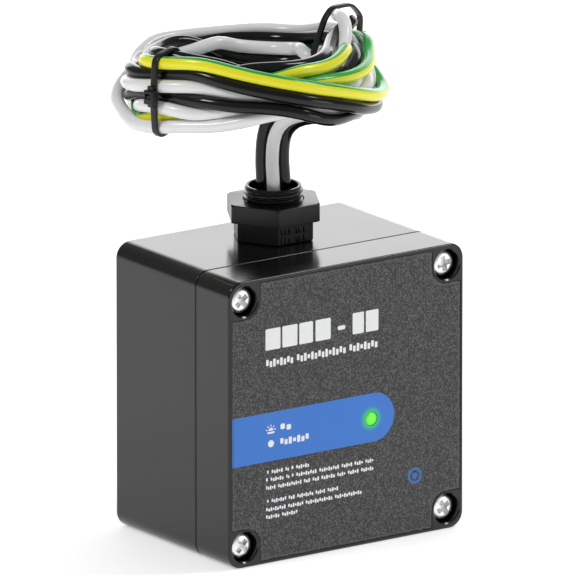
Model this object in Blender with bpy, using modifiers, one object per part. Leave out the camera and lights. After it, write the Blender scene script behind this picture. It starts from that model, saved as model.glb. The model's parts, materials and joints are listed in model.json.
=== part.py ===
"""A hard-wired surge protective device with a half-inch conduit nipple and four tied wire leads.

The origin is at the middle of the enclosure's base. +Z is up, and the front face looks along -Y.
Lengths are in metres.
"""

import math

import bmesh
import bpy
from mathutils import Matrix, Vector

# Enclosure
CASE_WIDTH = 0.102
CASE_HEIGHT = 0.105
CASE_DEPTH = 0.0705
COVER_DEPTH = 0.0205
CORNER_RADIUS = 0.0057
RIM_BEVEL = 0.0008
WALL = 0.0032
FACE_WALL = 0.0030
SEAM = 0.0004
GAP = 0.0003
PILLAR = 0.0135
PILLAR_RADIUS = 0.0050

FRONT = -CASE_DEPTH / 2
BACK = CASE_DEPTH / 2
SEAM_Y = FRONT + COVER_DEPTH
CASE_RIM = SEAM_Y + SEAM / 2
COVER_RIM = SEAM_Y - SEAM / 2
MID_HEIGHT = CASE_HEIGHT / 2

# Gasket in the case's rim
GASKET_INSET = 0.00105
GASKET_WIDTH = 0.0012
GASKET_DEPTH = 0.0014
GROOVE_DEPTH = 0.0017

# Face label, in a shallow pocket of the cover
LABEL_MARGIN = 0.00125
LABEL_THICKNESS = 0.00045
LABEL_POCKET = 0.0006
LABEL_NOTCH_RADIUS = 0.0064
LABEL_CLEARANCE = 0.0002

# Cover screws (M4 by 25) and their seals and inserts
SCREW_INSET_X = 0.0071
SCREW_INSET_Z = 0.0075
SCREW_LENGTH = 0.025
SCREW_RADIUS = 0.00195
SCREW_HEAD_RADIUS = 0.00435
SCREW_HEAD_HEIGHT = 0.0026
SCREW_RECESS = 0.00295
COUNTERBORE_RADIUS = 0.00535
SCREW_HOLE_RADIUS = 0.0024
SCREW_SLOT = 0.0050
SEAL_RADIUS = 0.00305
SEAL_HALF_WIDTH = 0.00085
SEAL_THICKNESS = 0.0012
SEAL_GAP = 0.0002
INSERT_RADIUS = 0.0029
INSERT_BORE = 0.00228
INSERT_LENGTH = 0.008
INSERT_HOLE_DEPTH = 0.0112
HEAD_SEAT = FRONT + SCREW_RECESS + SCREW_HEAD_HEIGHT
COUNTERBORE_FLOOR = HEAD_SEAT + SEAL_THICKNESS + 2 * SEAL_GAP

# Conduit fitting, half-inch trade size
NIPPLE_Y = 0.0098
THREAD_RADIUS = 0.01065
THREAD_ROOT = 0.00985
THREAD_PITCH = 0.001814
BORE_RADIUS = 0.0088
HEX_FLATS = 0.0270
HEX_BOTTOM = CASE_HEIGHT + GAP
HEX_TOP = HEX_BOTTOM + 0.0068
NUT_FLATS = 0.0317
NUT_BOTTOM = HEX_TOP + GAP
NUT_TOP = NUT_BOTTOM + 0.0067
NUT_BORE = 0.0110
NIPPLE_TOP = 0.1241
NIPPLE_BOTTOM = 0.0940
CASE_HOLE = 0.0110
INNER_NUT_FLATS = 0.0290
INNER_NUT_HEIGHT = 0.0050
INNER_NUT_TOP = CASE_HEIGHT - WALL - GAP
THREAD_START = 0.0007
THREAD_RUN_OUT = 0.0060
NIPPLE_CHAMFER = 0.0006
NUT_RECESS_RADIUS = 0.0132
NUT_RECESS_DEPTH = 0.0016
O_RING_GROOVE = (0.0111, 0.0127, 0.0013)
FITTING_RINGS = {
    "locknut_seal": (0.01205, NUT_BOTTOM + 0.0006, 0.00080, 0.00065),
    "nipple_o_ring": (0.01190, HEX_BOTTOM + 0.0004, 0.00050, 0.00050),
}

# Leads: 10 gauge wire in a diamond through the rubber lead seal
LEAD_RADIUS = 0.00236
LEAD_OFFSET = 0.0041
BUNDLED_OFFSET = 0.00352
LEAD_TURN = math.radians(-35.2)
SEAL_BOTTOM = 0.0980
SEAL_TOP = 0.1120
LEAD_SEAL_RADIUS = 0.0085
LEAD_CLEARANCE = 0.00025

# The riser: where the bundle's middle passes, as (across, inward, height) from the nipple's axis
RISER = (
    (0.0, 0.0, SEAL_TOP + GAP),
    (0.0, 0.0, NIPPLE_TOP),
    (-0.0006, 0.0, 0.1360),
    (-0.0006, 0.0, 0.1430),
    (0.0024, -0.0010, 0.1500),
    (0.0098, -0.0034, 0.1545),
    (0.0190, -0.0070, 0.1565),
)

# Coil of the leads, above the enclosure and to its left
COIL_CENTRE = Vector((-0.0070, 0.0148, 0.1630))
COIL_RADIUS = 0.0420
COIL_HALF_WIDTH = 0.0065
COIL_HALF_HEIGHT = 0.0130

# Cable ties round the coil: each one's angle from the riser's side, lower and upper ends, and head
TIE_WIDTH = 0.0025
TIE_THICKNESS = 0.0011
TIE_HALF_WIDTH = 0.0082
TIE_HEAD = (0.0034, 0.0046, 0.0052)
TIE_HEAD_OUT = 0.0010
TIE_LEFT = (math.radians(211.5), -0.0150, 0.0185, 0.0014)
TIE_RIGHT = (math.radians(39), -0.0150, 0.0192, 0.0090)

# Circuit board and what stands on it
BOARD_FRONT = 0.0160
BOARD_THICKNESS = 0.0016
BOARD_WIDTH = 0.084
BOARD_LOW = 0.017
BOARD_HIGH = 0.085
BOARD_HOLE_X = 0.037
BOARD_HOLE_INSET = 0.004
POST_RADIUS = 0.0036
POST_HOLE_DEPTH = 0.0085
BOARD_HOLE_RADIUS = 0.0016
BOARD_SCREW = (0.0080, 0.0013, 0.0027, 0.0018, 0.0032)
PART_BACK = BOARD_FRONT - GAP
VARISTOR = (0.0080, 0.0300, 0.0320)
VARISTOR_X = {"line_1": -0.0300, "line_2": -0.0160, "ground": 0.0270}
VARISTOR_Z = 0.0420
FUSE = (0.0060, 0.0045, 0.0070)
FUSE_X = {"line_1": -0.0300, "line_2": -0.0160}
FUSE_Z = 0.0212
CAPACITOR = (0.0180, 0.0140, 0.0090)
CAPACITOR_X = 0.0050
CAPACITOR_Z = 0.0565
SMALL_PARTS = {"lamp_resistor": (0.0040, 0.0018, 0.0090), "lamp_diode": (0.0110, 0.0014, 0.0052)}
SMALL_PARTS_Z = 0.0290
TERMINAL = (0.0090, 0.0120, 0.0090)
TERMINAL_X = (-0.0240, -0.0080, 0.0240, 0.0080)
TERMINAL_Y = 0.0095
TERMINAL_TOP = 0.0740
TERMINAL_SOCKET = 0.0050

# Status lamp on the board, and the light pipe from it to the front
LAMP_X = 0.0107
LAMP_Z = 0.0461
LAMP_RADIUS = 0.0025
LAMP_FLANGE = 0.0004
LAMP_Y_FRONT = 0.0080
LIGHT_HOLE_RADIUS = 0.0028
PIPE_RADIUS = 0.0025
PIPE_SHOULDER_RADIUS = 0.0040
PIPE_STEM_RADIUS = 0.0020
PIPE_SHOULDER = 0.0010
PIPE_RISE = 0.0006

# How far a cutter reaches past what it cuts, and how finely round shapes are faceted
REACH = 0.001
ROUND_STEPS = 32
SMALL_STEPS = 24
TUBE_RESOLUTION = 2


# Scene and materials


def clear_scene():
    for obj in list(bpy.data.objects):
        bpy.data.objects.remove(obj, do_unlink=True)


def new_collection(name):
    collection = bpy.data.collections.new(name)
    bpy.context.scene.collection.children.link(collection)
    return collection


def new_material(name, colour, roughness, metallic=0.0):
    material = bpy.data.materials.new(name)
    material.use_nodes = True
    shader = material.node_tree.nodes["Principled BSDF"]
    shader.inputs["Base Color"].default_value = (*colour, 1.0)
    shader.inputs["Roughness"].default_value = roughness
    shader.inputs["Metallic"].default_value = metallic
    material.diffuse_color = (*colour, 1.0)
    return material


def link(obj, material=None):
    """Puts a part in the parts' collection, or a cutter, which has no material, in the cutters'."""
    if material is None:
        CUTTERS.objects.link(obj)
        obj.hide_render = True
        obj.display_type = "WIRE"
        return obj
    PARTS.objects.link(obj)
    obj.data.materials.clear()
    obj.data.materials.append(material)
    return obj


# Outlines, as lists of (x, y) points that run counter-clockwise


def arc(centre, radius, start, end, steps):
    """Points on an arc, from start to end in degrees, both included."""
    angles = [math.radians(start + (end - start) * i / steps) for i in range(steps + 1)]
    return [(centre[0] + radius * math.cos(a), centre[1] + radius * math.sin(a)) for a in angles]


def circle(radius, steps=ROUND_STEPS):
    return arc((0, 0), radius, 0, 360, steps)[:-1]


def rounded_rectangle(width, height, radius, steps=5):
    points = []
    for turn, (sx, sy) in enumerate(((1, 1), (-1, 1), (-1, -1), (1, -1))):
        corner = (sx * (width / 2 - radius), sy * (height / 2 - radius))
        points += arc(corner, radius, 90 * turn, 90 * turn + 90, steps)
    return points


def notched_rectangle(width, height, notch, radius, steps=5):
    """A rectangle with a square notch out of each corner, whose inner corner is round."""
    points = []
    for turn, (sx, sy) in enumerate(((1, 1), (-1, 1), (-1, -1), (1, -1))):
        x, y = sx * width / 2, sy * height / 2
        inner = (x - sx * (notch[0] - radius), y - sy * (notch[1] - radius))
        beside, above = (x, y - sy * notch[1]), (x - sx * notch[0], y)
        curve = arc(inner, radius, 270 + 90 * turn, 180 + 90 * turn, steps)
        points += [beside, *curve, above] if turn % 2 == 0 else [above, *curve, beside]
    return points


def hexagon(across_flats, radius, steps=3):
    """A hexagon with two flats across Y and round corners."""
    points = []
    reach = (across_flats / 2 - radius) / math.cos(math.radians(30))
    for turn in range(6):
        middle = 60 * turn
        centre = (reach * math.cos(math.radians(middle)), reach * math.sin(math.radians(middle)))
        points += arc(centre, radius, middle - 30, middle + 30, steps)
    return points


# Solids


def plate_mesh(name, loops, thickness):
    """A flat plate between z = 0 and thickness. Loops after the first are holes in it."""
    if len(loops) > 1:
        return holed_plate_mesh(name, loops, thickness)
    work = bmesh.new()
    face = work.faces.new([work.verts.new((x, y, 0)) for x, y in loops[0]])
    raised = bmesh.ops.extrude_face_region(work, geom=[face])["geom"]
    top = [v for v in raised if isinstance(v, bmesh.types.BMVert)]
    bmesh.ops.translate(work, vec=(0, 0, thickness), verts=top)
    bmesh.ops.recalc_face_normals(work, faces=work.faces)
    mesh = bpy.data.meshes.new(name)
    work.to_mesh(mesh)
    work.free()
    return mesh


def holed_plate_mesh(name, loops, thickness):
    curve = bpy.data.curves.new(name, "CURVE")
    curve.dimensions = "2D"
    curve.fill_mode = "BOTH"
    curve.extrude = thickness / 2
    for loop in loops:
        spline = curve.splines.new("POLY")
        spline.points.add(len(loop) - 1)
        for point, (x, y) in zip(spline.points, loop):
            point.co = (x, y, 0, 1)
        spline.use_cyclic_u = True
    helper = bpy.data.objects.new(name, curve)
    bpy.context.scene.collection.objects.link(helper)
    mesh = frozen(helper)
    mesh.transform(Matrix.Translation((0, 0, thickness / 2)))
    return mesh


def frozen(obj):
    """The object's evaluated mesh, welded, as a mesh of its own. The object is removed."""
    bpy.context.view_layer.update()
    graph = bpy.context.evaluated_depsgraph_get()
    mesh = bpy.data.meshes.new_from_object(obj.evaluated_get(graph))
    bpy.data.objects.remove(obj, do_unlink=True)
    work = bmesh.new()
    work.from_mesh(mesh)
    bmesh.ops.remove_doubles(work, verts=work.verts, dist=1e-6)
    bmesh.ops.recalc_face_normals(work, faces=work.faces)
    work.to_mesh(mesh)
    work.free()
    return mesh


def bevel_rim(mesh, height, width, segments=2):
    """Rounds the outer edges of the plate's face at this height."""
    work = bmesh.new()
    work.from_mesh(mesh)
    level = [v for v in work.verts if abs(v.co.z - height) < 1e-6]
    edges = [e for e in work.edges if e.verts[0] in level and e.verts[1] in level]
    edges = [e for e in edges if len({round(f.normal.z) for f in e.link_faces}) == 2]
    bmesh.ops.bevel(work, geom=edges, offset=width, segments=segments, affect="EDGES")
    work.to_mesh(mesh)
    work.free()


FACING_FRONT = Matrix.Rotation(math.pi / 2, 4, "X")


def upright(name, loops, low_y, high_y, material=None, bevel=0.0, bevel_at="front"):
    """A plate that stands across Y: its outline's y becomes height above the enclosure's middle."""
    thickness = high_y - low_y
    mesh = plate_mesh(name, loops, thickness)
    if bevel:
        bevel_rim(mesh, thickness if bevel_at == "front" else 0.0, bevel)
    mesh.transform(FACING_FRONT)
    obj = bpy.data.objects.new(name, mesh)
    obj.location = (0, high_y, MID_HEIGHT)
    return link(obj, material)


def flat(name, loops, low_z, high_z, centre, material=None):
    """A plate that lies across Z."""
    obj = bpy.data.objects.new(name, plate_mesh(name, loops, high_z - low_z))
    obj.location = (*centre, low_z)
    return link(obj, material)


def turned_mesh(name, profile, steps, closed=True):
    """A turned solid about Z from (radius, z) points that run down its outer side."""
    mesh = bpy.data.meshes.new(name)
    edges = [(i, i + 1) for i in range(len(profile) - 1)]
    if closed:
        edges.append((len(profile) - 1, 0))
    mesh.from_pydata([(r, 0, z) for r, z in profile], edges, [])
    helper = bpy.data.objects.new(name, mesh)
    bpy.context.scene.collection.objects.link(helper)
    screw = helper.modifiers.new("turn", "SCREW")
    screw.steps = steps
    screw.render_steps = steps
    screw.use_merge_vertices = True
    screw.merge_threshold = 1e-5
    return frozen(helper)


def turned(name, profile, location, material=None, steps=ROUND_STEPS, closed=True, front=False):
    mesh = turned_mesh(name, profile, steps, closed)
    if front:
        mesh.transform(FACING_FRONT)
    obj = bpy.data.objects.new(name, mesh)
    obj.location = location
    return link(obj, material)


def ring_profile(inner, outer, low, high):
    return [(inner, high), (outer, high), (outer, low), (inner, low)]


def round_profile(radius, height, half_width, half_height, steps=12):
    """An oval section around (radius, height), running down its outer side."""
    angles = [math.radians(90 - 360 * i / steps) for i in range(steps)]
    return [(radius + half_width * math.cos(a), height + half_height * math.sin(a)) for a in angles]


def box(name, size, centre, material=None, bevel=0.0):
    mesh = bpy.data.meshes.new(name)
    work = bmesh.new()
    bmesh.ops.create_cube(work, size=1.0)
    bmesh.ops.scale(work, vec=size, verts=work.verts)
    if bevel:
        bmesh.ops.bevel(work, geom=work.edges[:], offset=bevel, segments=1, affect="EDGES")
    work.to_mesh(mesh)
    work.free()
    obj = bpy.data.objects.new(name, mesh)
    obj.location = centre
    return link(obj, material)


def combine(obj, others, operation="DIFFERENCE"):
    for other in others:
        modifier = obj.modifiers.new(other.name, "BOOLEAN")
        modifier.operation = operation
        modifier.solver = "EXACT"
        modifier.object = other


def shade(obj, degrees=35):
    obj.data.shade_smooth()
    obj.data.set_sharp_from_angle(angle=math.radians(degrees))


# Places that repeat


def corners():
    """The four cover screws' places, each as a name and (x, z)."""
    across = CASE_WIDTH / 2 - SCREW_INSET_X
    low, high = SCREW_INSET_Z, CASE_HEIGHT - SCREW_INSET_Z
    return (
        ("upper_left", -across, high),
        ("upper_right", across, high),
        ("lower_left", -across, low),
        ("lower_right", across, low),
    )


def board_holes():
    low, high = BOARD_LOW + BOARD_HOLE_INSET, BOARD_HIGH - BOARD_HOLE_INSET
    return ((-BOARD_HOLE_X, low), (BOARD_HOLE_X, low), (-BOARD_HOLE_X, high), (BOARD_HOLE_X, high))


def lead_places():
    """Each lead's name and its offset from the nipple's axis: left, front, right and back of the diamond."""
    across = Vector((math.cos(LEAD_TURN), math.sin(LEAD_TURN), 0)) * LEAD_OFFSET
    inward = Vector((-math.sin(LEAD_TURN), math.cos(LEAD_TURN), 0)) * LEAD_OFFSET
    return (
        ("black_1", -across),
        ("white", -inward),
        ("black_2", across),
        ("green_yellow", inward),
    )


# Enclosure


def cavity_outline():
    notch = (PILLAR - WALL, PILLAR - WALL)
    return notched_rectangle(CASE_WIDTH - 2 * WALL, CASE_HEIGHT - 2 * WALL, notch, PILLAR_RADIUS)


def rim_outline(inset):
    return rounded_rectangle(
        CASE_WIDTH - 2 * inset, CASE_HEIGHT - 2 * inset, max(CORNER_RADIUS - inset, 0.002)
    )


def front_hole(name, radius, low_y, high_y, x, z, steps=SMALL_STEPS):
    """A cutter along Y."""
    length = high_y - low_y
    profile = [(0, 0), (radius, 0), (radius, -length), (0, -length)]
    return turned(name, profile, (x, low_y, z), steps=steps, closed=False, front=True)


def rear_case(material):
    outline = rounded_rectangle(CASE_WIDTH, CASE_HEIGHT, CORNER_RADIUS)
    case = upright("rear_case", [outline], CASE_RIM, BACK, material, RIM_BEVEL, "back")
    groove_edge = GASKET_INSET - GAP
    cutters = [
        upright("case_cavity", [cavity_outline()], CASE_RIM - REACH, BACK - WALL),
        upright(
            "gasket_groove",
            [rim_outline(groove_edge), rim_outline(groove_edge + GASKET_WIDTH + 2 * GAP)],
            CASE_RIM - REACH,
            CASE_RIM + GROOVE_DEPTH,
        ),
        nipple_hole(),
    ]
    hole_end = CASE_RIM + INSERT_HOLE_DEPTH
    for name, x, z in corners():
        hole = front_hole(f"insert_hole_{name}", INSERT_RADIUS + GAP, CASE_RIM - REACH, hole_end, x, z)
        cutters.append(hole)
    combine(case, cutters)
    combine(case, board_posts(), "UNION")
    combine(case, post_holes())
    return case


def nipple_hole():
    profile = [(0, 0.01), (CASE_HOLE, 0.01), (CASE_HOLE, -0.01), (0, -0.01)]
    place = (0, NIPPLE_Y, CASE_HEIGHT - WALL / 2)
    return turned("nipple_hole", profile, place, closed=False)


def board_posts():
    front = BOARD_FRONT + BOARD_THICKNESS + GAP
    overlap = WALL / 2
    return [
        front_hole(f"post_{i}", POST_RADIUS, front, BACK - overlap, x, z, 16)
        for i, (x, z) in enumerate(board_holes())
    ]


def post_holes():
    front = BOARD_FRONT + BOARD_THICKNESS
    return [
        front_hole(f"post_hole_{i}", BOARD_HOLE_RADIUS, front - REACH, front + POST_HOLE_DEPTH, x, z, 12)
        for i, (x, z) in enumerate(board_holes())
    ]


def front_cover(material):
    outline = rounded_rectangle(CASE_WIDTH, CASE_HEIGHT, CORNER_RADIUS)
    cover = upright("front_cover", [outline], FRONT, COVER_RIM, material, RIM_BEVEL)
    before = FRONT - REACH
    cutters = [
        upright("cover_cavity", [cavity_outline()], FRONT + FACE_WALL, COVER_RIM + REACH),
        upright("label_pocket", [label_outline(0)], before, FRONT + LABEL_POCKET),
        lamp_hole("lamp_hole", FRONT + FACE_WALL + REACH),
    ]
    for name, x, z in corners():
        cutters += [
            front_hole(f"counterbore_{name}", COUNTERBORE_RADIUS, before, COUNTERBORE_FLOOR, x, z),
            front_hole(f"screw_hole_{name}", SCREW_HOLE_RADIUS, FRONT, COVER_RIM + REACH, x, z),
        ]
    combine(cover, cutters)
    return cover


def lamp_hole(name, high_y):
    """A cutter for the light pipe, from in front of the face to high_y."""
    return front_hole(name, LIGHT_HOLE_RADIUS, FRONT - REACH, high_y, LAMP_X, LAMP_Z)


def label_outline(inset):
    margin = LABEL_MARGIN + inset
    notch = (
        SCREW_INSET_X + LABEL_NOTCH_RADIUS - LABEL_MARGIN,
        SCREW_INSET_Z + LABEL_NOTCH_RADIUS - LABEL_MARGIN,
    )
    return notched_rectangle(
        CASE_WIDTH - 2 * margin, CASE_HEIGHT - 2 * margin, notch, LABEL_NOTCH_RADIUS
    )


def face_label(material):
    outline = label_outline(LABEL_CLEARANCE)
    label = upright("face_label", [outline], FRONT, FRONT + LABEL_THICKNESS, material)
    combine(label, [lamp_hole("label_hole", FRONT + REACH)])
    return label


def cover_gasket(material):
    outer = rim_outline(GASKET_INSET)
    inner = rim_outline(GASKET_INSET + GASKET_WIDTH)
    low = CASE_RIM - SEAM / 4
    return upright("cover_gasket", [outer, inner], low, low + GASKET_DEPTH, material)


def light_pipe(material):
    """A clear rod from the lamp on the board to a low dome in the label's blue band."""
    angles = (0.0, 0.4, 0.8, 1.2, math.pi / 2)
    profile = [(PIPE_RADIUS * math.sin(a), PIPE_RISE * (math.cos(a) - 1)) for a in angles]
    shoulder = -(FACE_WALL + GAP)
    end = FRONT - LAMP_Y_FRONT + GAP
    profile += [
        (PIPE_RADIUS, shoulder),
        (PIPE_SHOULDER_RADIUS, shoulder),
        (PIPE_SHOULDER_RADIUS, shoulder - PIPE_SHOULDER),
        (PIPE_STEM_RADIUS, shoulder - PIPE_SHOULDER),
        (PIPE_STEM_RADIUS, end),
        (0, end),
    ]
    place = (LAMP_X, FRONT, LAMP_Z)
    pipe = turned("status_light_pipe", profile, place, material, 16, closed=False, front=True)
    shade(pipe)


# Cover screws


def screw_mesh(name, length, radius, head_radius, head_height, slot):
    """A cross-head screw along Z whose head's underside is at z = 0."""
    edge = head_height * 0.35
    profile = [
        (0, head_height),
        (head_radius - edge, head_height),
        (head_radius, head_height - edge),
        (head_radius, 0),
        (radius, 0),
        (radius, -length + radius * 0.6),
        (radius * 0.5, -length),
        (0, -length),
    ]
    obj = bpy.data.objects.new(name, turned_mesh(name, profile, SMALL_STEPS, closed=False))
    bpy.context.scene.collection.objects.link(obj)
    arms = []
    for turn in (0, 1):
        size = (slot, slot * 0.22, head_height * 1.1)
        arm = box(f"{name}_arm_{turn}", size, (0, 0, head_height))
        arm.rotation_euler = (0, 0, turn * math.pi / 2)
        arms.append(arm)
    combine(obj, arms)
    mesh = frozen(obj)
    for arm in arms:
        bpy.data.objects.remove(arm, do_unlink=True)
    return mesh


def cover_screws(steel, rubber, brass):
    screw = screw_mesh(
        "cover_screw",
        SCREW_LENGTH,
        SCREW_RADIUS,
        SCREW_HEAD_RADIUS,
        SCREW_HEAD_HEIGHT,
        SCREW_SLOT,
    )
    seal_profile = round_profile(SEAL_RADIUS, 0, SEAL_HALF_WIDTH, SEAL_THICKNESS / 2, 8)
    seal = turned_mesh("screw_seal", seal_profile, SMALL_STEPS)
    insert_profile = ring_profile(INSERT_BORE, INSERT_RADIUS, -INSERT_LENGTH, 0)
    insert = turned_mesh("case_insert", insert_profile, 16)
    seal_y = HEAD_SEAT + SEAL_GAP + SEAL_THICKNESS / 2
    for mesh in (screw, seal, insert):
        mesh.transform(FACING_FRONT)
    for name, x, z in corners():
        copies = (
            ("cover_screw", screw, HEAD_SEAT, steel),
            ("screw_seal", seal, seal_y, rubber),
            ("case_insert", insert, CASE_RIM + SEAL_GAP, brass),
        )
        for kind, mesh, y, material in copies:
            obj = bpy.data.objects.new(f"{kind}_{name}", mesh)
            obj.location = (x, y, z)
            link(obj, material)
            shade(obj)


# Conduit fitting


def thread_points(low, high):
    """A thread's crests and roots as turned ridges, from high to low."""
    points = []
    count = int((high - low) / THREAD_PITCH)
    for i in range(count):
        top = high - i * THREAD_PITCH
        points += [(THREAD_ROOT, top), (THREAD_RADIUS, top - THREAD_PITCH * 0.4)]
        points += [(THREAD_RADIUS, top - THREAD_PITCH * 0.6)]
    points.append((THREAD_ROOT, high - count * THREAD_PITCH))
    return points


def conduit_nipple(material):
    chamfer = NIPPLE_CHAMFER
    upper = thread_points(HEX_TOP + THREAD_RUN_OUT, NIPPLE_TOP - THREAD_START)
    profile = [
        (BORE_RADIUS, NIPPLE_TOP - chamfer),
        (BORE_RADIUS + chamfer, NIPPLE_TOP),
        (THREAD_ROOT, NIPPLE_TOP),
        *upper,
        (THREAD_RADIUS, upper[-1][1] - 0.0004),
        (THREAD_RADIUS, NIPPLE_BOTTOM),
        (BORE_RADIUS, NIPPLE_BOTTOM),
    ]
    nipple = turned("conduit_nipple", profile, (0, NIPPLE_Y, 0), material)
    hexagonal = flat(
        "nipple_hex",
        [hexagon(HEX_FLATS, 0.0010), circle(THREAD_RADIUS - 0.0009)],
        HEX_BOTTOM,
        HEX_TOP,
        (0, NIPPLE_Y),
    )
    combine(nipple, [hexagonal], "UNION")
    inner, outer, depth = O_RING_GROOVE
    groove = ring_profile(inner, outer, HEX_BOTTOM - REACH, HEX_BOTTOM + depth)
    combine(nipple, [turned("o_ring_groove", groove, (0, NIPPLE_Y, 0))])
    shade(nipple)


def hex_nut(name, flats, bore, low, high, material, bevel):
    """A nut with a round-cornered outline and its upper edge taken off."""
    mesh = plate_mesh(name, [hexagon(flats, 0.0018), circle(bore)], high - low)
    bevel_rim(mesh, high - low, bevel, 1)
    obj = bpy.data.objects.new(name, mesh)
    obj.location = (0, NIPPLE_Y, low)
    return link(obj, material)


def fitting_rings(nylon, rubber):
    nut = hex_nut("locknut", NUT_FLATS, NUT_BORE, NUT_BOTTOM, NUT_TOP, nylon, 0.0007)
    recess_top = NUT_BOTTOM + NUT_RECESS_DEPTH
    recess = ring_profile(NUT_BORE - GAP, NUT_RECESS_RADIUS, NUT_BOTTOM - REACH, recess_top)
    combine(nut, [turned("nut_recess", recess, (0, NIPPLE_Y, 0))])
    inner_low = INNER_NUT_TOP - INNER_NUT_HEIGHT
    hex_nut("inner_locknut", INNER_NUT_FLATS, NUT_BORE, inner_low, INNER_NUT_TOP, nylon, 0.0005)
    for name, (radius, z, half_width, half_height) in FITTING_RINGS.items():
        section = round_profile(radius, z, half_width, half_height, 8)
        shade(turned(name, section, (0, NIPPLE_Y, 0), rubber), 60)


def lead_seal(material):
    edge = 0.0006
    profile = [
        (0, SEAL_TOP),
        (LEAD_SEAL_RADIUS - edge, SEAL_TOP),
        (LEAD_SEAL_RADIUS, SEAL_TOP - edge),
        (LEAD_SEAL_RADIUS, SEAL_BOTTOM),
        (0, SEAL_BOTTOM),
    ]
    seal = turned("lead_seal", profile, (0, NIPPLE_Y, 0), material, closed=False)
    holes = []
    for name, offset in lead_places():
        radius = LEAD_RADIUS + LEAD_CLEARANCE
        hole = [(0, SEAL_TOP + REACH), (radius, SEAL_TOP + REACH)]
        hole += [(radius, SEAL_BOTTOM - REACH), (0, SEAL_BOTTOM - REACH)]
        place = (offset.x, NIPPLE_Y + offset.y, 0)
        holes.append(turned(f"seal_hole_{name}", hole, place, steps=12, closed=False))
    combine(seal, holes)


# Leads


def smooth_route(points, spacing):
    """Points at an even spacing on a Catmull-Rom curve through the given points."""
    ends = [points[0] * 2 - points[1], *points, points[-1] * 2 - points[-2]]
    fine = []
    for a, b, c, d in zip(ends, ends[1:], ends[2:], ends[3:]):
        for i in range(16):
            t = i / 16
            bend = 2 * a - 5 * b + 4 * c - d
            twist = -a + 3 * b - 3 * c + d
            fine.append(0.5 * (2 * b + (c - a) * t + bend * t**2 + twist * t**3))
    fine.append(points[-1])
    lengths = [0.0]
    for a, b in zip(fine, fine[1:]):
        lengths.append(lengths[-1] + (b - a).length)
    count = max(2, round(lengths[-1] / spacing))
    route = []
    for i in range(count + 1):
        target = lengths[-1] * i / count
        j = next(k for k in range(1, len(lengths)) if lengths[k] >= target - 1e-9)
        share = (target - lengths[j - 1]) / (lengths[j] - lengths[j - 1])
        route.append(fine[j - 1].lerp(fine[j], share))
    return route


def tube(name, route, radius, material):
    """A tube whose caps stand square to its ends."""
    curve = bpy.data.curves.new(name, "CURVE")
    curve.dimensions = "3D"
    curve.bevel_depth = radius
    curve.bevel_resolution = TUBE_RESOLUTION
    curve.use_fill_caps = True
    spline = curve.splines.new("POLY")
    spline.points.add(len(route) - 1)
    for point, place in zip(spline.points, route):
        point.co = (*place, 1)
    return link(bpy.data.objects.new(name, curve), material)


def carried(route, offset):
    """The route of one wire of a bundle, which draws together over its first stretches.

    The wire's offset from the bundle's middle turns with the bundle's direction.
    """
    moved = []
    heading = (route[1] - route[0]).normalized()
    offset = offset.copy()
    for i, place in enumerate(route):
        ahead = route[min(i + 1, len(route) - 1)] - route[max(i - 1, 0)]
        ahead.normalize()
        offset.rotate(heading.rotation_difference(ahead))
        heading = ahead
        drawn = min(1.0, i / 3)
        offset.length = LEAD_OFFSET + (BUNDLED_OFFSET - LEAD_OFFSET) * drawn
        moved.append(place + offset)
    return moved


def riser_route():
    """From the lead seal up through the nipple, in a slight S, then over to the coil's inner side."""
    across = Vector((math.cos(LEAD_TURN), math.sin(LEAD_TURN), 0))
    inward = Vector((-math.sin(LEAD_TURN), math.cos(LEAD_TURN), 0))
    foot = Vector((0, NIPPLE_Y, 0))
    return [foot + across * u + inward * f + Vector((0, 0, z)) for u, f, z in RISER]


def leads(materials):
    route = smooth_route(riser_route(), 2.5 * 2 * LEAD_RADIUS)
    route[1] = Vector((route[0].x, route[0].y, route[1].z))
    for name, offset in lead_places():
        tube(f"lead_{name}", carried(route, offset), LEAD_RADIUS, materials[name])


def inner_leads(materials):
    """Each lead from the underside of the lead seal to its terminal on the board."""
    for (name, offset), x in zip(lead_places(), TERMINAL_X):
        start = Vector((offset.x, NIPPLE_Y + offset.y, SEAL_BOTTOM - GAP))
        end = Vector((x, TERMINAL_Y, TERMINAL_TOP + GAP - TERMINAL_SOCKET))
        mouth = Vector((start.x, start.y, NIPPLE_BOTTOM - 0.0010))
        entry = end + Vector((0, 0, TERMINAL_SOCKET + 0.0040))
        route = [start] + smooth_route([mouth, entry], 1.2 * 2 * LEAD_RADIUS) + [end]
        tube(f"inner_lead_{name}", route, LEAD_RADIUS, materials[name])


def lead_coil(material):
    """The outer shape of the four leads' turns."""
    profile = round_profile(COIL_RADIUS, 0, COIL_HALF_WIDTH, COIL_HALF_HEIGHT)
    coil = turned("lead_coil", profile, COIL_CENTRE, material, 40)
    shade(coil, 60)


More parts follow.
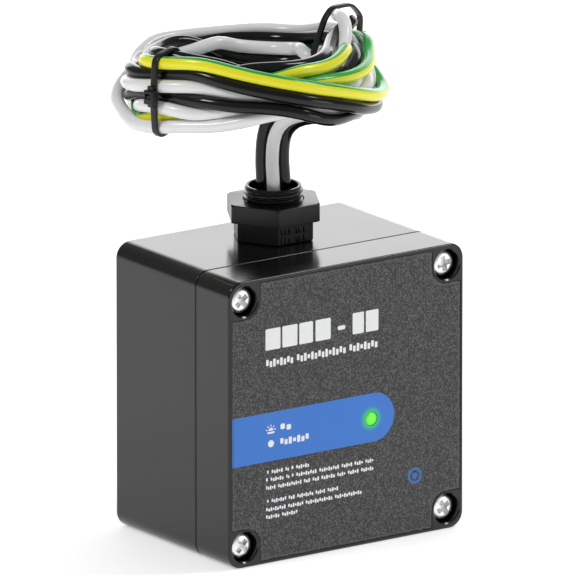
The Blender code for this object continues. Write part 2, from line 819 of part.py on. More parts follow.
def cable_tie(name, tie_place, material):
    """A strap round the coil's section at one angle about its axis, with a ratchet head outside."""
    turn, low, high, head_z = tie_place
    angle = LEAD_TURN + turn
    height = high - low
    hole_width = 2 * (TIE_HALF_WIDTH - TIE_THICKNESS)
    band = rounded_rectangle(2 * TIE_HALF_WIDTH, height, TIE_HALF_WIDTH * 0.75, 4)
    hole = rounded_rectangle(hole_width, height - 2 * TIE_THICKNESS, TIE_HALF_WIDTH * 0.65, 4)
    mesh = plate_mesh(name, [band, hole], TIE_WIDTH)
    mesh.transform(Matrix.Translation((0, 0, -TIE_WIDTH / 2)))
    mesh.transform(FACING_FRONT)
    tie = bpy.data.objects.new(name, mesh)
    around = Matrix.Rotation(angle, 4, "Z")
    outward = around @ Vector((COIL_RADIUS, 0, 0))
    tie.location = COIL_CENTRE + outward + Vector((0, 0, (low + high) / 2))
    tie.rotation_euler = (0, 0, angle)
    link(tie, material)
    head = box(f"{name}_head", TIE_HEAD, (0, 0, 0))
    place = around @ Vector((COIL_RADIUS + TIE_HALF_WIDTH + TIE_HEAD_OUT, 0, 0))
    head.location = COIL_CENTRE + place + Vector((0, 0, head_z))
    head.rotation_euler = (0, 0, angle)
    combine(tie, [head], "UNION")


def cable_ties(material):
    cable_tie("cable_tie_left", TIE_LEFT, material)
    cable_tie("cable_tie_right", TIE_RIGHT, material)


# Circuit board


def circuit_board(material):
    height = BOARD_HIGH - BOARD_LOW
    centre = (0, BOARD_FRONT + BOARD_THICKNESS / 2, BOARD_LOW + height / 2)
    board = box("circuit_board", (BOARD_WIDTH, BOARD_THICKNESS, height), centre, material)
    holes = [
        front_hole(
            f"board_hole_{i}",
            BOARD_HOLE_RADIUS,
            BOARD_FRONT - REACH,
            BOARD_FRONT + BOARD_THICKNESS + REACH,
            x,
            z,
            12,
        )
        for i, (x, z) in enumerate(board_holes())
    ]
    combine(board, holes)


def board_screws(material):
    mesh = screw_mesh("board_screw", *BOARD_SCREW)
    mesh.transform(FACING_FRONT)
    for i, (x, z) in enumerate(board_holes()):
        obj = bpy.data.objects.new(f"board_screw_{i + 1}", mesh)
        obj.location = (x, BOARD_FRONT - GAP, z)
        link(obj, material)
        shade(obj)


def varistors(material):
    for name, x in VARISTOR_X.items():
        centre = (x, PART_BACK - VARISTOR[1] / 2, VARISTOR_Z)
        box(f"varistor_{name}", VARISTOR, centre, material, 0.0012)


def thermal_fuses(material):
    for name, x in FUSE_X.items():
        centre = (x, PART_BACK - FUSE[1] / 2, FUSE_Z)
        box(f"thermal_fuse_{name}", FUSE, centre, material, 0.0008)


def status_lamp(material):
    radius = LAMP_RADIUS
    length = PART_BACK - LAMP_Y_FRONT
    dome = [(radius * math.sin(a), radius * math.cos(a)) for a in (0.0, 0.5, 1.0, math.pi / 2)]
    profile = [(r, z - radius) for r, z in dome]
    flange_top = -length + PIPE_SHOULDER
    profile += [(radius, flange_top), (radius + LAMP_FLANGE, flange_top)]
    profile += [(radius + LAMP_FLANGE, -length), (0, -length)]
    place = (LAMP_X, LAMP_Y_FRONT, LAMP_Z)
    lamp = turned("status_lamp", profile, place, material, 16, closed=False, front=True)
    shade(lamp)


def small_parts(materials):
    for name, (x, radius, length) in SMALL_PARTS.items():
        edge = radius * 0.3
        profile = [
            (0, length / 2),
            (radius - edge, length / 2),
            (radius, length / 2 - edge),
            (radius, edge - length / 2),
            (radius - edge, -length / 2),
            (0, -length / 2),
        ]
        place = (x, PART_BACK - radius, SMALL_PARTS_Z)
        turned(name, profile, place, materials[name], 16, closed=False)
    place = (CAPACITOR_X, PART_BACK - CAPACITOR[1] / 2, CAPACITOR_Z)
    box("film_capacitor", CAPACITOR, place, materials["film_capacitor"], 0.0008)


def terminals(material):
    """A clamp block for each lead, with a round socket in its top."""
    for (name, _), x in zip(lead_places(), TERMINAL_X):
        centre = (x, PART_BACK - TERMINAL[1] / 2, TERMINAL_TOP - TERMINAL[2] / 2)
        block = box(f"terminal_{name}", TERMINAL, centre, material, 0.0005)
        radius = LEAD_RADIUS + 2 * GAP
        profile = [(0, REACH), (radius, REACH), (radius, -TERMINAL_SOCKET), (0, -TERMINAL_SOCKET)]
        place = (x, TERMINAL_Y, TERMINAL_TOP)
        combine(block, [turned(f"socket_{name}", profile, place, steps=12, closed=False)])


# The whole part


def main():
    plastic = new_material("case_plastic", (0.018, 0.018, 0.019), 0.35)
    cover_plastic = new_material("cover_plastic", (0.018, 0.018, 0.019), 0.35)
    label = new_material("label_film", (0.055, 0.055, 0.056), 0.6)
    clear = new_material("clear_acrylic", (0.25, 0.85, 0.15), 0.1)
    nylon = new_material("nylon", (0.012, 0.012, 0.012), 0.3)
    rubber = new_material("rubber", (0.02, 0.02, 0.02), 0.8)
    steel = new_material("screw_steel", (0.78, 0.78, 0.77), 0.25, 1.0)
    brass = new_material("brass", (0.80, 0.60, 0.25), 0.35, 1.0)
    board = new_material("board_laminate", (0.03, 0.20, 0.08), 0.5)
    varistor = new_material("varistor_epoxy", (0.05, 0.16, 0.45), 0.5)
    fuse = new_material("fuse_epoxy", (0.85, 0.83, 0.76), 0.5)
    tin = new_material("tinned_brass", (0.75, 0.75, 0.72), 0.4, 1.0)
    wires = {
        "black_1": new_material("wire_black", (0.012, 0.012, 0.013), 0.2),
        "white": new_material("wire_white", (0.75, 0.75, 0.74), 0.25),
        "green_yellow": new_material("wire_green", (0.10, 0.50, 0.12), 0.25),
    }
    wires["black_2"] = wires["black_1"]
    small = {
        "lamp_resistor": new_material("resistor_body", (0.55, 0.70, 0.80), 0.5),
        "lamp_diode": new_material("diode_body", (0.02, 0.02, 0.02), 0.4),
        "film_capacitor": new_material("capacitor_case", (0.75, 0.60, 0.10), 0.4),
    }
    lamp = new_material("lamp_epoxy", (0.15, 0.80, 0.20), 0.15)

    shade(rear_case(plastic))
    shade(front_cover(cover_plastic))
    face_label(label)
    cover_gasket(rubber)
    light_pipe(clear)
    cover_screws(steel, rubber, brass)
    conduit_nipple(nylon)
    fitting_rings(nylon, rubber)
    lead_seal(rubber)
    leads(wires)
    inner_leads(wires)
    lead_coil(wires["black_1"])
    cable_ties(nylon)
    circuit_board(board)
    board_screws(steel)
    varistors(varistor)
    thermal_fuses(fuse)
    status_lamp(lamp)
    small_parts(small)
    terminals(tin)


clear_scene()
PARTS = new_collection("surge_protector")
CUTTERS = new_collection("cutters")
main()
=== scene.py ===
"""The looks of a hard-wired surge protective device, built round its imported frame.

Lengths are in metres. The enclosure stands on z = 0 and its front looks along -Y.
"""

import json
import math

import bmesh
import bpy
import numpy as np
from mathutils import Matrix, Vector

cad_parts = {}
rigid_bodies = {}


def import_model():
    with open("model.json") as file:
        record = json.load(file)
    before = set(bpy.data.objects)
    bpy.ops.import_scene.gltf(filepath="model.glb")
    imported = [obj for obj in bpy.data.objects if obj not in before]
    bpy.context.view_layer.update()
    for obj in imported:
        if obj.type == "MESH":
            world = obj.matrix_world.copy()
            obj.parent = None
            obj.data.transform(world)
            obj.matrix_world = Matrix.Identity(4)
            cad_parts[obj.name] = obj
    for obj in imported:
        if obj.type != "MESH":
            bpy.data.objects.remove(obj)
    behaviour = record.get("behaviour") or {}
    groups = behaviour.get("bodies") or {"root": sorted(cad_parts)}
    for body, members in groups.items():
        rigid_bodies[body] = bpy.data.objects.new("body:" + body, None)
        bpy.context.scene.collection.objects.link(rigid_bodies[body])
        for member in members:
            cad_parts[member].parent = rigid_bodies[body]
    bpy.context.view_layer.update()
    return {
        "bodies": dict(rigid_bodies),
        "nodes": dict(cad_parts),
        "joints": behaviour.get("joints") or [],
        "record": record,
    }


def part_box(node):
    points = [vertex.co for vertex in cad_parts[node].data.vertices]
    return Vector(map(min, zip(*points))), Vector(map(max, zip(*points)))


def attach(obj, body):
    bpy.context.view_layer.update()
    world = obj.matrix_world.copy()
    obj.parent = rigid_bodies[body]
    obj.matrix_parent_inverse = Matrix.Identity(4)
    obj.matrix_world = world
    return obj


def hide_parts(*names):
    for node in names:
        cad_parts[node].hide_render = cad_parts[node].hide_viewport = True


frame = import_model()

MM = 0.001
VIEW_TURN = math.radians(-35.2)
VIEW_TILT = math.radians(15.2)
VIEW_WIDTH = 0.20448
VIEW_MIDDLE_Z = 0.0882
VIEW_SHIFT = -0.00064
LENS = 1200.0
SENSOR = 36.0

ACROSS = Vector((math.cos(VIEW_TURN), math.sin(VIEW_TURN), 0))
INWARD = Vector((-math.sin(VIEW_TURN), math.cos(VIEW_TURN), 0))

CASE_LOW, CASE_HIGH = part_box("rear_case")
COVER_LOW, COVER_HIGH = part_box("front_cover")
FRONT = COVER_LOW.y
BACK = CASE_HIGH.y
TOP = CASE_HIGH.z
WIDTH = CASE_HIGH.x - CASE_LOW.x
HEIGHT = CASE_HIGH.z - CASE_LOW.z
MIDDLE = HEIGHT / 2
NIPPLE_LOW, NIPPLE_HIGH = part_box("conduit_nipple")
NIPPLE = Vector(((NIPPLE_LOW.x + NIPPLE_HIGH.x) / 2, (NIPPLE_LOW.y + NIPPLE_HIGH.y) / 2, 0))
LAMP_LOW, LAMP_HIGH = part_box("status_light_pipe")
LAMP = Vector(((LAMP_LOW.x + LAMP_HIGH.x) / 2, 0, (LAMP_LOW.z + LAMP_HIGH.z) / 2))


# Materials


class Finish:
    """A material on one Principled shader, with short ways to add nodes."""

    def __init__(self, name, colour=None, **values):
        self.material = bpy.data.materials.new(name)
        self.material.use_nodes = True
        self.tree = self.material.node_tree
        self.shader = self.tree.nodes["Principled BSDF"]
        if colour is not None:
            self.shader.inputs["Base Color"].default_value = (*colour, 1)
        for key, value in values.items():
            self.shader.inputs[key.replace("_", " ")].default_value = value
        self.place = self.node("ShaderNodeTexCoord").outputs["Object"]

    def node(self, kind, inputs=(), **settings):
        made = self.tree.nodes.new(kind)
        for key, value in settings.items():
            setattr(made, key, value)
        for key, value in dict(inputs).items():
            if isinstance(value, bpy.types.NodeSocket):
                self.tree.links.new(value, made.inputs[key])
            else:
                made.inputs[key].default_value = value
        return made

    def noise(self, scale, detail=2.0, roughness=0.5, place=None):
        inputs = {
            "Vector": place or self.place,
            "Scale": scale,
            "Detail": detail,
            "Roughness": roughness,
        }
        return self.node("ShaderNodeTexNoise", inputs).outputs["Fac"]

    def mix(self, share, first, second):
        """A colour between two, by a share."""
        made = self.node("ShaderNodeMix", data_type="RGBA")
        for socket, value in ((made.inputs[0], share), (made.inputs[6], first), (made.inputs[7], second)):
            if isinstance(value, bpy.types.NodeSocket):
                self.tree.links.new(value, socket)
            elif isinstance(value, tuple):
                socket.default_value = (*value, 1)
            else:
                socket.default_value = value
        return made.outputs[2]

    def span(self, value, low, high, to_low=0.0, to_high=1.0):
        inputs = {"Value": value, "From Min": low, "From Max": high, "To Min": to_low, "To Max": to_high}
        return self.node("ShaderNodeMapRange", inputs).outputs["Result"]

    def colour(self, socket):
        self.tree.links.new(socket, self.shader.inputs["Base Color"])
        return self

    def rough(self, socket):
        self.tree.links.new(socket, self.shader.inputs["Roughness"])
        return self

    def glow(self, colour, strength):
        self.tree.links.new(colour, self.shader.inputs["Emission Color"])
        self.tree.links.new(strength, self.shader.inputs["Emission Strength"])

    def bump(self, height, distance, strength=1.0, after=None):
        inputs = {"Height": height, "Distance": distance, "Strength": strength}
        if after is not None:
            inputs["Normal"] = after
        made = self.node("ShaderNodeBump", inputs).outputs["Normal"]
        self.tree.links.new(made, self.shader.inputs["Normal"])
        return made


def plain(name, colour, roughness, metallic=0.0, grain=0.0, size=900.0, spread=0.12):
    """A moulded or metal surface: slight colour and gloss variation, and a fine grain."""
    finish = Finish(name, colour, Roughness=roughness, Metallic=metallic)
    cloud = finish.noise(60.0, 3.0)
    dark = tuple(c * (1 - spread) for c in colour)
    light = tuple(min(1.0, c * (1 + spread) + 0.002) for c in colour)
    finish.colour(finish.mix(cloud, dark, light))
    finish.rough(finish.span(finish.noise(35.0, 4.0), 0.3, 0.7, roughness * 0.85, roughness * 1.2))
    if grain:
        finish.bump(finish.noise(size, 3.0, 0.6), grain)
    return finish


# Shapes


def arc(centre, radius, start, end, steps):
    """Points on an arc, from start to end in degrees, both included."""
    angles = [math.radians(start + (end - start) * i / steps) for i in range(steps + 1)]
    return [(centre[0] + radius * math.cos(a), centre[1] + radius * math.sin(a)) for a in angles]


def circle(radius, steps=64, centre=(0, 0)):
    return arc(centre, radius, 0, 360, steps)[:-1]


def rounded_rectangle(width, height, radius, steps=12, centre=(0, 0)):
    points = []
    for turn, (sx, sy) in enumerate(((1, 1), (-1, 1), (-1, -1), (1, -1))):
        corner = (centre[0] + sx * (width / 2 - radius), centre[1] + sy * (height / 2 - radius))
        points += arc(corner, radius, 90 * turn, 90 * turn + 90, steps)
    return points


def notched_rectangle(width, height, notch, radius, steps=12):
    """A rectangle with a square notch out of each corner, whose inner corner is round."""
    points = []
    for turn, (sx, sy) in enumerate(((1, 1), (-1, 1), (-1, -1), (1, -1))):
        x, y = sx * width / 2, sy * height / 2
        inner = (x - sx * (notch[0] - radius), y - sy * (notch[1] - radius))
        beside, above = (x, y - sy * notch[1]), (x - sx * notch[0], y)
        curve = arc(inner, radius, 270 + 90 * turn, 180 + 90 * turn, steps)
        points += [beside, *curve, above] if turn % 2 == 0 else [above, *curve, beside]
    return points


def hexagon(across_flats, radius, steps=8):
    """A hexagon with two flats across Y and round corners."""
    points = []
    reach = (across_flats / 2 - radius) / math.cos(math.radians(30))
    for turn in range(6):
        middle = 60 * turn
        centre = (reach * math.cos(math.radians(middle)), reach * math.sin(math.radians(middle)))
        points += arc(centre, radius, middle - 30, middle + 30, steps)
    return points


def centre_and_size(node):
    low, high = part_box(node)
    return (low + high) / 2, high - low


ON_AXIS = 1e-9


def show(name, mesh, body, finishes, node=None, angle=35, weighted=True):
    """Makes a shown piece of a mesh: shaded, with its finishes, riding on a body, in place of CAD nodes."""
    obj = bpy.data.objects.new(name, mesh)
    bpy.context.scene.collection.objects.link(obj)
    for finish in finishes if isinstance(finishes, (list, tuple)) else [finishes]:
        mesh.materials.append(finish.material)
    mesh.shade_smooth()
    if angle:
        mesh.set_sharp_from_angle(angle=math.radians(angle))
    if weighted:
        modifier = obj.modifiers.new("normals", "WEIGHTED_NORMAL")
        modifier.keep_sharp = True
    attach(obj, body)
    if node:
        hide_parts(*([node] if isinstance(node, str) else node))
    return obj


def mesh_of(work, name):
    mesh = bpy.data.meshes.new(name)
    work.to_mesh(mesh)
    work.free()
    return mesh


def plate(name, outline, low, high, rim=0.0, rim_low=0.0, segments=3):
    """A plate between two heights along Z, with its upper and lower outer edges rounded."""
    work = bmesh.new()
    face = work.faces.new([work.verts.new((x, y, low)) for x, y in outline])
    raised = bmesh.ops.extrude_face_region(work, geom=[face])["geom"]
    top = [v for v in raised if isinstance(v, bmesh.types.BMVert)]
    bmesh.ops.translate(work, vec=(0, 0, high - low), verts=top)
    bmesh.ops.recalc_face_normals(work, faces=work.faces)
    for level, width in ((high, rim), (low, rim_low)):
        if width:
            edges = [e for e in work.edges if all(abs(v.co.z - level) < 1e-7 for v in e.verts)]
            bmesh.ops.bevel(work, geom=edges, offset=width, segments=segments, affect="EDGES", profile=0.5)
    return mesh_of(work, name)


def ring_at(work, z, radii):
    """A ring of vertices round Z at this height, at each of the radii in turn."""
    spots = [(math.tau * i / len(radii), radius) for i, radius in enumerate(radii)]
    return [work.verts.new((radius * math.cos(a), radius * math.sin(a), z)) for a, radius in spots]


def skin(work, rings):
    """Faces from each ring of vertices to the next. A ring may be one vertex, repeated."""
    faces = []
    for first, second in zip(rings, rings[1:]):
        for i in range(len(first)):
            j = (i + 1) % len(first)
            corners = list(dict.fromkeys((first[i], first[j], second[j], second[i])))
            if len(corners) > 2:
                faces.append(work.faces.new(corners))
    return faces


def closed_mesh(work, name):
    bmesh.ops.recalc_face_normals(work, faces=work.faces)
    return mesh_of(work, name)


def turned_mesh(name, profile, steps=96):
    """A turned solid about Z from (radius, z) points, which is a ring if the first is off the axis."""
    work = bmesh.new()
    rings = []
    for radius, z in profile:
        if radius < ON_AXIS:
            rings.append([work.verts.new((0, 0, z))] * steps)
        else:
            rings.append(ring_at(work, z, [radius] * steps))
    skin(work, [*rings, rings[0]] if profile[0][0] > ON_AXIS else rings)
    return closed_mesh(work, name)


def cut(mesh, cutters, operation="DIFFERENCE"):
    """The mesh after a Boolean with each of the cutter meshes."""
    scene = bpy.context.scene.collection
    obj = bpy.data.objects.new(mesh.name, mesh)
    scene.objects.link(obj)
    helpers = []
    for cutter in cutters:
        helper = bpy.data.objects.new("cutter", cutter)
        scene.objects.link(helper)
        helpers.append(helper)
        modifier = obj.modifiers.new("cut", "BOOLEAN")
        modifier.operation = operation
        modifier.object = helper
    bpy.context.view_layer.update()
    graph = bpy.context.evaluated_depsgraph_get()
    made = bpy.data.meshes.new_from_object(obj.evaluated_get(graph))
    for helper in [obj, *helpers]:
        bpy.data.objects.remove(helper, do_unlink=True)
    return made


def round_section(middle, wide, tall):
    """A ring's round section as a (radius, z) profile, which runs clockwise."""
    turns = [-math.tau * k / 20 for k in range(20)]
    return [(middle + wide * math.cos(t), tall * math.sin(t)) for t in turns]


def dome(radius, drop, steps):
    """Half a dome's (radius, z) profile, from its top at z = 0."""
    turns = [math.pi / 2 * k / steps for k in range(steps + 1)]
    return [(radius * math.sin(t), drop * (math.cos(t) - 1)) for t in turns]


def moved(mesh, offset=(0, 0, 0), turn=None):
    if turn is not None:
        mesh.transform(turn)
    mesh.transform(Matrix.Translation(offset))
    return mesh


FACING_FRONT = Matrix.Rotation(math.pi / 2, 4, "X")


def upright(name, outline, low_y, high_y, front_rim=0.0, back_rim=0.0, segments=3, middle=MIDDLE):
    """A plate that stands across Y: its outline's y is height above middle."""
    mesh = plate(name, outline, 0, high_y - low_y, front_rim, back_rim, segments)
    return moved(mesh, (0, high_y, middle), FACING_FRONT)


def rod(name, radius, low_y, high_y, x, z, steps=48):
    """A cylinder along Y."""
    return moved(plate(name, circle(radius, steps), 0, high_y - low_y), (x, high_y, z), FACING_FRONT)


def block(name, size, centre, rim=0.0, segments=3):
    work = bmesh.new()
    bmesh.ops.create_cube(work, size=1.0)
    bmesh.ops.scale(work, vec=size, verts=work.verts)
    if rim:
        bmesh.ops.bevel(work, geom=work.edges[:], offset=rim, segments=segments, affect="EDGES", profile=0.5)
    bmesh.ops.translate(work, vec=centre, verts=work.verts)
    return mesh_of(work, name)


def joined(name, meshes):
    """One mesh of several, kept as they are."""
    work = bmesh.new()
    for mesh in meshes:
        work.from_mesh(mesh)
    return mesh_of(work, name)


# Leads

LEAD_RADIUS = 2.36 * MM
LEAD_COLOURS = ("green_yellow", "white", "black_1", "black_2")
# In millimetres: the coil's centre across from the nipple, how far each lead is from the bundle's
# middle at the seal and above it, the least distance between leads, and a route's point spacing
COIL_OFFSET = -8.6
RISER_OFFSET = 4.1
BUNDLED_OFFSET = 3.52
CLEAR = 4.78
POINT_SPACING = 2.5
CURVE_STEPS = 24
# How the leads settle: rounds, those at the end without easing, and distances in millimetres
SETTLE_ROUNDS = 160
STIFF_ROUNDS = 30
SETTLE_REACH = 7.5
SETTLE_STEP = 1.6
SETTLE_EASE = 0.10
ALONGSIDE = 2.2
PARALLEL = 0.8
HELD_POINTS = 9
NEIGHBOURS = 6
ANGLES = (0, 40, 90, 135, 180, 221, 283, 320)
TURNS = 3
# Each turn's radius and height above the enclosure at ANGLES, in millimetres
COIL = {
    "green_yellow": (
        (
            (37, 50), (44.5, 56.8), (47, 54.4), (44.7, 51),
            (40.9, 49.1), (44, 52.2), (39, 63), (42.5, 63.7),
        ),
        (
            (43, 64.7), (44.6, 66.2), (42.2, 57.2), (37.2, 55.5),
            (35.4, 57.5), (45.9, 71.3), (47, 68.4), (47, 60.5),
        ),
        (
            (46.9, 53), (44.6, 60.4), (42.2, 52.4), (38.7, 54),
            (35.4, 54.1), (39.6, 56.4), (40, 66.5), (38.5, 69.5),
        ),
    ),
    "white": (
        (
            (41, 51.3), (41.2, 67.6), (46.6, 64), (44.2, 60.5),
            (43, 54.5), (46.2, 48.1), (43, 57), (42.5, 56),
        ),
        (
            (42.3, 55.2), (36.4, 60.2), (37.6, 59.5), (39.2, 58.5),
            (40.9, 56.4), (46.5, 63.5), (42.3, 61.8), (41.5, 59.5),
        ),
        (
            (38.5, 60), (36.8, 62.8), (37.3, 50), (36.7, 52),
            (36.8, 53.4), (46.5, 55.8), (38.6, 59), (34.5, 65.5),
        ),
    ),
    "black_1": (
        (
            (40, 46.5), (44.4, 53.3), (47, 59.2), (41.7, 53),
            (36.4, 47), (39.6, 51.7), (38, 57.5), (38, 57),
        ),
        (
            (38.2, 55), (40.7, 61.7), (42.2, 47.6), (41.2, 57),
            (39.9, 60.2), (44.2, 67.4), (47, 63.6), (45.5, 55.8),
        ),
        (
            (44.3, 49), (40.6, 58.3), (37.3, 54.7), (39.7, 61.5),
            (36.4, 62.7), (39.5, 65.5), (38.5, 69), (33.5, 70),
        ),
    ),
    "black_2": (
        (
            (36.5, 46), (40.5, 54.6), (47, 49.6), (40.7, 50.5),
            (34.7, 50.2), (39.5, 61), (34.5, 61.5), (37.5, 61),
        ),
        (
            (38.5, 64.5), (36.8, 65.8), (42.0, 62), (41.9, 59),
            (41.4, 53), (44.2, 59.7), (47, 58.8), (43, 51.5),
        ),
        (
            (40.2, 50.6), (40.5, 64.9), (37.3, 45.1), (36.2, 57),
            (34.9, 62.3), (40.9, 74), (34.8, 65.5), (31.5, 65.5),
        ),
    ),
}
# Stations added between 40 and 90 degrees: the shares of those two in the radius and in the height
LEVEL_STATIONS = {53: ((0.55, 0.45), (0.4, 0.6)), 66: ((0.2, 0.8), (0.03, 0.97))}
# Where each lead's cut end goes: points across, inward and above the enclosure, in millimetres
CUT_ENDS = {
    "green_yellow": ((25.5, -8, 70.6),),
    "white": ((24.5, 2, 68.5), (22.5, 25.5, 75.0)),
    "black_1": ((20.5, -1, 70.0), (26.5, 23.5, 71.5)),
    "black_2": ((15.5, -3, 64),),
}
# The bundle's middle between the lead seal and the coil, in the same three distances
RISER = (
    (0, 0, 7.0),
    (0, 0, 19.1),
    (-0.6, 0, 31.0),
    (-0.6, 0, 38.0),
    (2.4, -1.0, 45.0),
    (9.8, -3.4, 48.0),
    (19.0, -6.4, 48.6),
)
RISER_SIDES = {"black_1": (-1, 0), "white": (0, -1), "black_2": (1, 0), "green_yellow": (0, 1)}


def lead_place(point):
    """The point at these distances across, inward and above the enclosure at the nipple's axis."""
    across, inward, above = (float(value) * MM for value in point)
    return NIPPLE + ACROSS * across + INWARD * inward + Vector((0, 0, TOP + above))


def even(points, spacing):
    """Points at an even spacing on a Catmull-Rom curve through the given points."""
    points = np.asarray(points, float)
    ends = np.vstack([2 * points[0] - points[1], points, 2 * points[-1] - points[-2]])
    t = (np.arange(CURVE_STEPS) / CURVE_STEPS)[:, None]
    fine = []
    for a, b, c, d in zip(ends, ends[1:], ends[2:], ends[3:]):
        bend, twist = 2 * a - 5 * b + 4 * c - d, -a + 3 * b - 3 * c + d
        fine.append(0.5 * (2 * b + (c - a) * t + bend * t**2 + twist * t**3))
    fine = np.vstack([*fine, points[-1:]])
    run = np.concatenate([[0], np.cumsum(np.linalg.norm(np.diff(fine, axis=0), axis=1))])
    marks = np.linspace(0, run[-1], max(2, round(run[-1] / spacing)) + 1)
    return np.stack([np.interp(marks, run, fine[:, i]) for i in range(3)], axis=1)


def riser(side):
    """One lead's way through the nipple, in its place in the bundle, which draws together above it."""
    route = even(RISER, 6.0)
    route[1, :2] = route[0, :2]
    heading = Vector(route[1] - route[0]).normalized()
    offset = Vector((side[0], side[1], 0))
    lane = []
    for i, place in enumerate(route):
        ahead = Vector(route[min(i + 1, len(route) - 1)] - route[max(i - 1, 0)]).normalized()
        offset.rotate(heading.rotation_difference(ahead))
        heading = ahead
        reach = RISER_OFFSET + (BUNDLED_OFFSET - RISER_OFFSET) * min(1.0, i / 5)
        lane.append(np.array(Vector(place) + offset * reach))
    return lane


def first_route(name):
    """The riser, the three turns and the cut end of one lead, before the leads settle.

    Two more stations keep the turns level until they come to the right tie.
    """
    points = riser(RISER_SIDES[name])[:-1]
    for turn in range(TURNS):
        stations = dict(zip(ANGLES, COIL[name][turn]))
        near, far = stations[40], stations[90]
        for angle, shares in LEVEL_STATIONS.items():
            stations[angle] = tuple(a * s + b * t for a, b, (s, t) in zip(near, far, shares))
        for angle in sorted(stations):
            radius, above = stations[angle]
            a = math.radians(angle)
            points.append(np.array((COIL_OFFSET + radius * math.cos(a), radius * math.sin(a), above)))
    points += [np.array(point, float) for point in CUT_ENDS[name]]
    return even(points, POINT_SPACING)


def neighbours(values, owner):
    """The values before and after each one on its own lead, which is itself at an end."""
    found = []
    for shift in (1, -1):
        same = (np.roll(owner, shift) == owner)[:, None]
        found.append(np.where(same, np.roll(values, shift, axis=0), values))
    return found


def smoothed(values, owner, rounds=1):
    """Each point's value averaged with its neighbours' along its own lead."""
    for _ in range(rounds):
        before, after = neighbours(values, owner)
        values = 0.5 * values + 0.25 * (before + after)
    return values


def settle(routes):
    """Moves the leads apart wherever two of them, or two turns of one, lie in each other."""
    owner = np.concatenate([np.full(len(route), i) for i, route in enumerate(routes)])
    index = np.concatenate([np.arange(len(route)) for route in routes])
    points = np.vstack(routes)
    held = np.concatenate([np.arange(len(route)) < HELD_POINTS for route in routes])[:, None]
    near_self = (owner[:, None] == owner[None, :]) & (np.abs(index[:, None] - index[None, :]) < NEIGHBOURS)
    for step in range(SETTLE_ROUNDS):
        behind, ahead = neighbours(points, owner)
        along = ahead - behind
        along /= np.linalg.norm(along, axis=1, keepdims=True)
        first, second = np.nonzero(pairs_closer(points, SETTLE_REACH) & ~near_self)
        between = points[first] - points[second]
        share = along[first] + along[second] * np.sign((along[first] * along[second]).sum(1))[:, None]
        share /= np.linalg.norm(share, axis=1, keepdims=True) + 1e-9
        parallel = np.abs((along[first] * along[second]).sum(1)) > PARALLEL
        run = (between * share).sum(1)
        flat = np.where(parallel[:, None], between - run[:, None] * share, between)
        gap = np.linalg.norm(flat, axis=1)
        close = (gap < CLEAR) & (~parallel | (np.abs(run) < ALONGSIDE))
        push = np.where(close, (CLEAR - gap) * 0.5, 0)[:, None] * flat / (gap[:, None] + 1e-6)
        total, count = np.zeros_like(points), np.zeros(len(points))
        np.add.at(total, first, push)
        np.add.at(count, first, close)
        move = total / np.maximum(count, 1)[:, None]
        move = smoothed(move, owner, 2) * SETTLE_STEP
        points = points + np.where(held, 0, move)
        relaxed = smoothed(points, owner, 1)
        ends = np.concatenate([[False] + [True] * (len(route) - 2) + [False] for route in routes])[:, None]
        ease = SETTLE_EASE if step < SETTLE_ROUNDS - STIFF_ROUNDS else 0.0
        points = np.where(held | ~ends, points, points + (relaxed - points) * ease)
    cuts = np.cumsum([len(route) for route in routes])[:-1]
    return np.split(points, cuts)


def pairs_closer(points, reach):
    squares = (points**2).sum(1)
    return squares[:, None] + squares[None, :] - 2 * points @ points.T < reach * reach


def lead_routes():
    routes = settle([first_route(name) for name in LEAD_COLOURS])
    placed = []
    for route in routes:
        line = even(route, POINT_SPACING)
        placed.append([lead_place(point) for point in line])
    return dict(zip(LEAD_COLOURS, placed))


def frames_along(line, side):
    """For each point of a line, its direction and two directions square to it that don't twist."""
    frames = []
    heading = (line[1] - line[0]).normalized()
    side = (side - heading * side.dot(heading)).normalized()
    for i, place in enumerate(line):
        ahead = (line[min(i + 1, len(line) - 1)] - line[max(i - 1, 0)]).normalized()
        side = side.copy()
        side.rotate(heading.rotation_difference(ahead))
        heading = ahead
        side = (side - heading * side.dot(heading)).normalized()
        frames.append((heading, side, heading.cross(side)))
    return frames


# How far the stripe faces out and down, and how it rolls to and fro along the lead
STRIPE_OUT, STRIPE_DOWN, STRIPE_ROLL, ROLL_POINTS = 0.75, 0.72, 0.25, 23.0


def frames_outward(line):
    """As frames_along, but the first direction square to the line faces out of the coil and down."""
    centre = lead_place((COIL_OFFSET, 0, 0))
    frames = []
    for i, place in enumerate(line):
        heading = (line[min(i + 1, len(line) - 1)] - line[max(i - 1, 0)]).normalized()
        away = place - centre
        away.z = 0
        roll = STRIPE_ROLL * math.sin(i / ROLL_POINTS)
        side = away.normalized() * (STRIPE_OUT + roll) + Vector((0, 0, roll - STRIPE_DOWN))
        side = (side - heading * side.dot(heading)).normalized()
        frames.append((heading, side, heading.cross(side)))
    return frames


def tube(name, line, radius, steps=20, striped=None, side=Vector((1, 0, 0)), end_rim=0.0):
    """A closed tube along a line. striped is how many of its strips take the second finish."""
    work = bmesh.new()
    rings = []
    spots = [2 * math.pi * i / steps for i in range(steps)]
    frames = frames_outward(line) if striped else frames_along(line, side)
    stations = [(place, frame, radius) for place, frame in zip(line, frames)]
    if end_rim:
        last, frame = line[-1], frames[-1]
        stations[-1] = (last - frame[0] * end_rim, frame, radius)
        stations.append((last, frame, radius - end_rim))
    for place, (_, across, up), reach in stations:
        around = [across * math.cos(a) + up * math.sin(a) for a in spots]
        rings.append([work.verts.new(place + direction * reach) for direction in around])
    for i, face in enumerate(skin(work, rings)):
        if striped and (i % steps + striped // 2) % steps < striped:
            face.material_index = 1
    work.faces.new(rings[0][::-1])
    work.faces.new(rings[-1])
    return closed_mesh(work, name)


TUBE_STEPS = 20
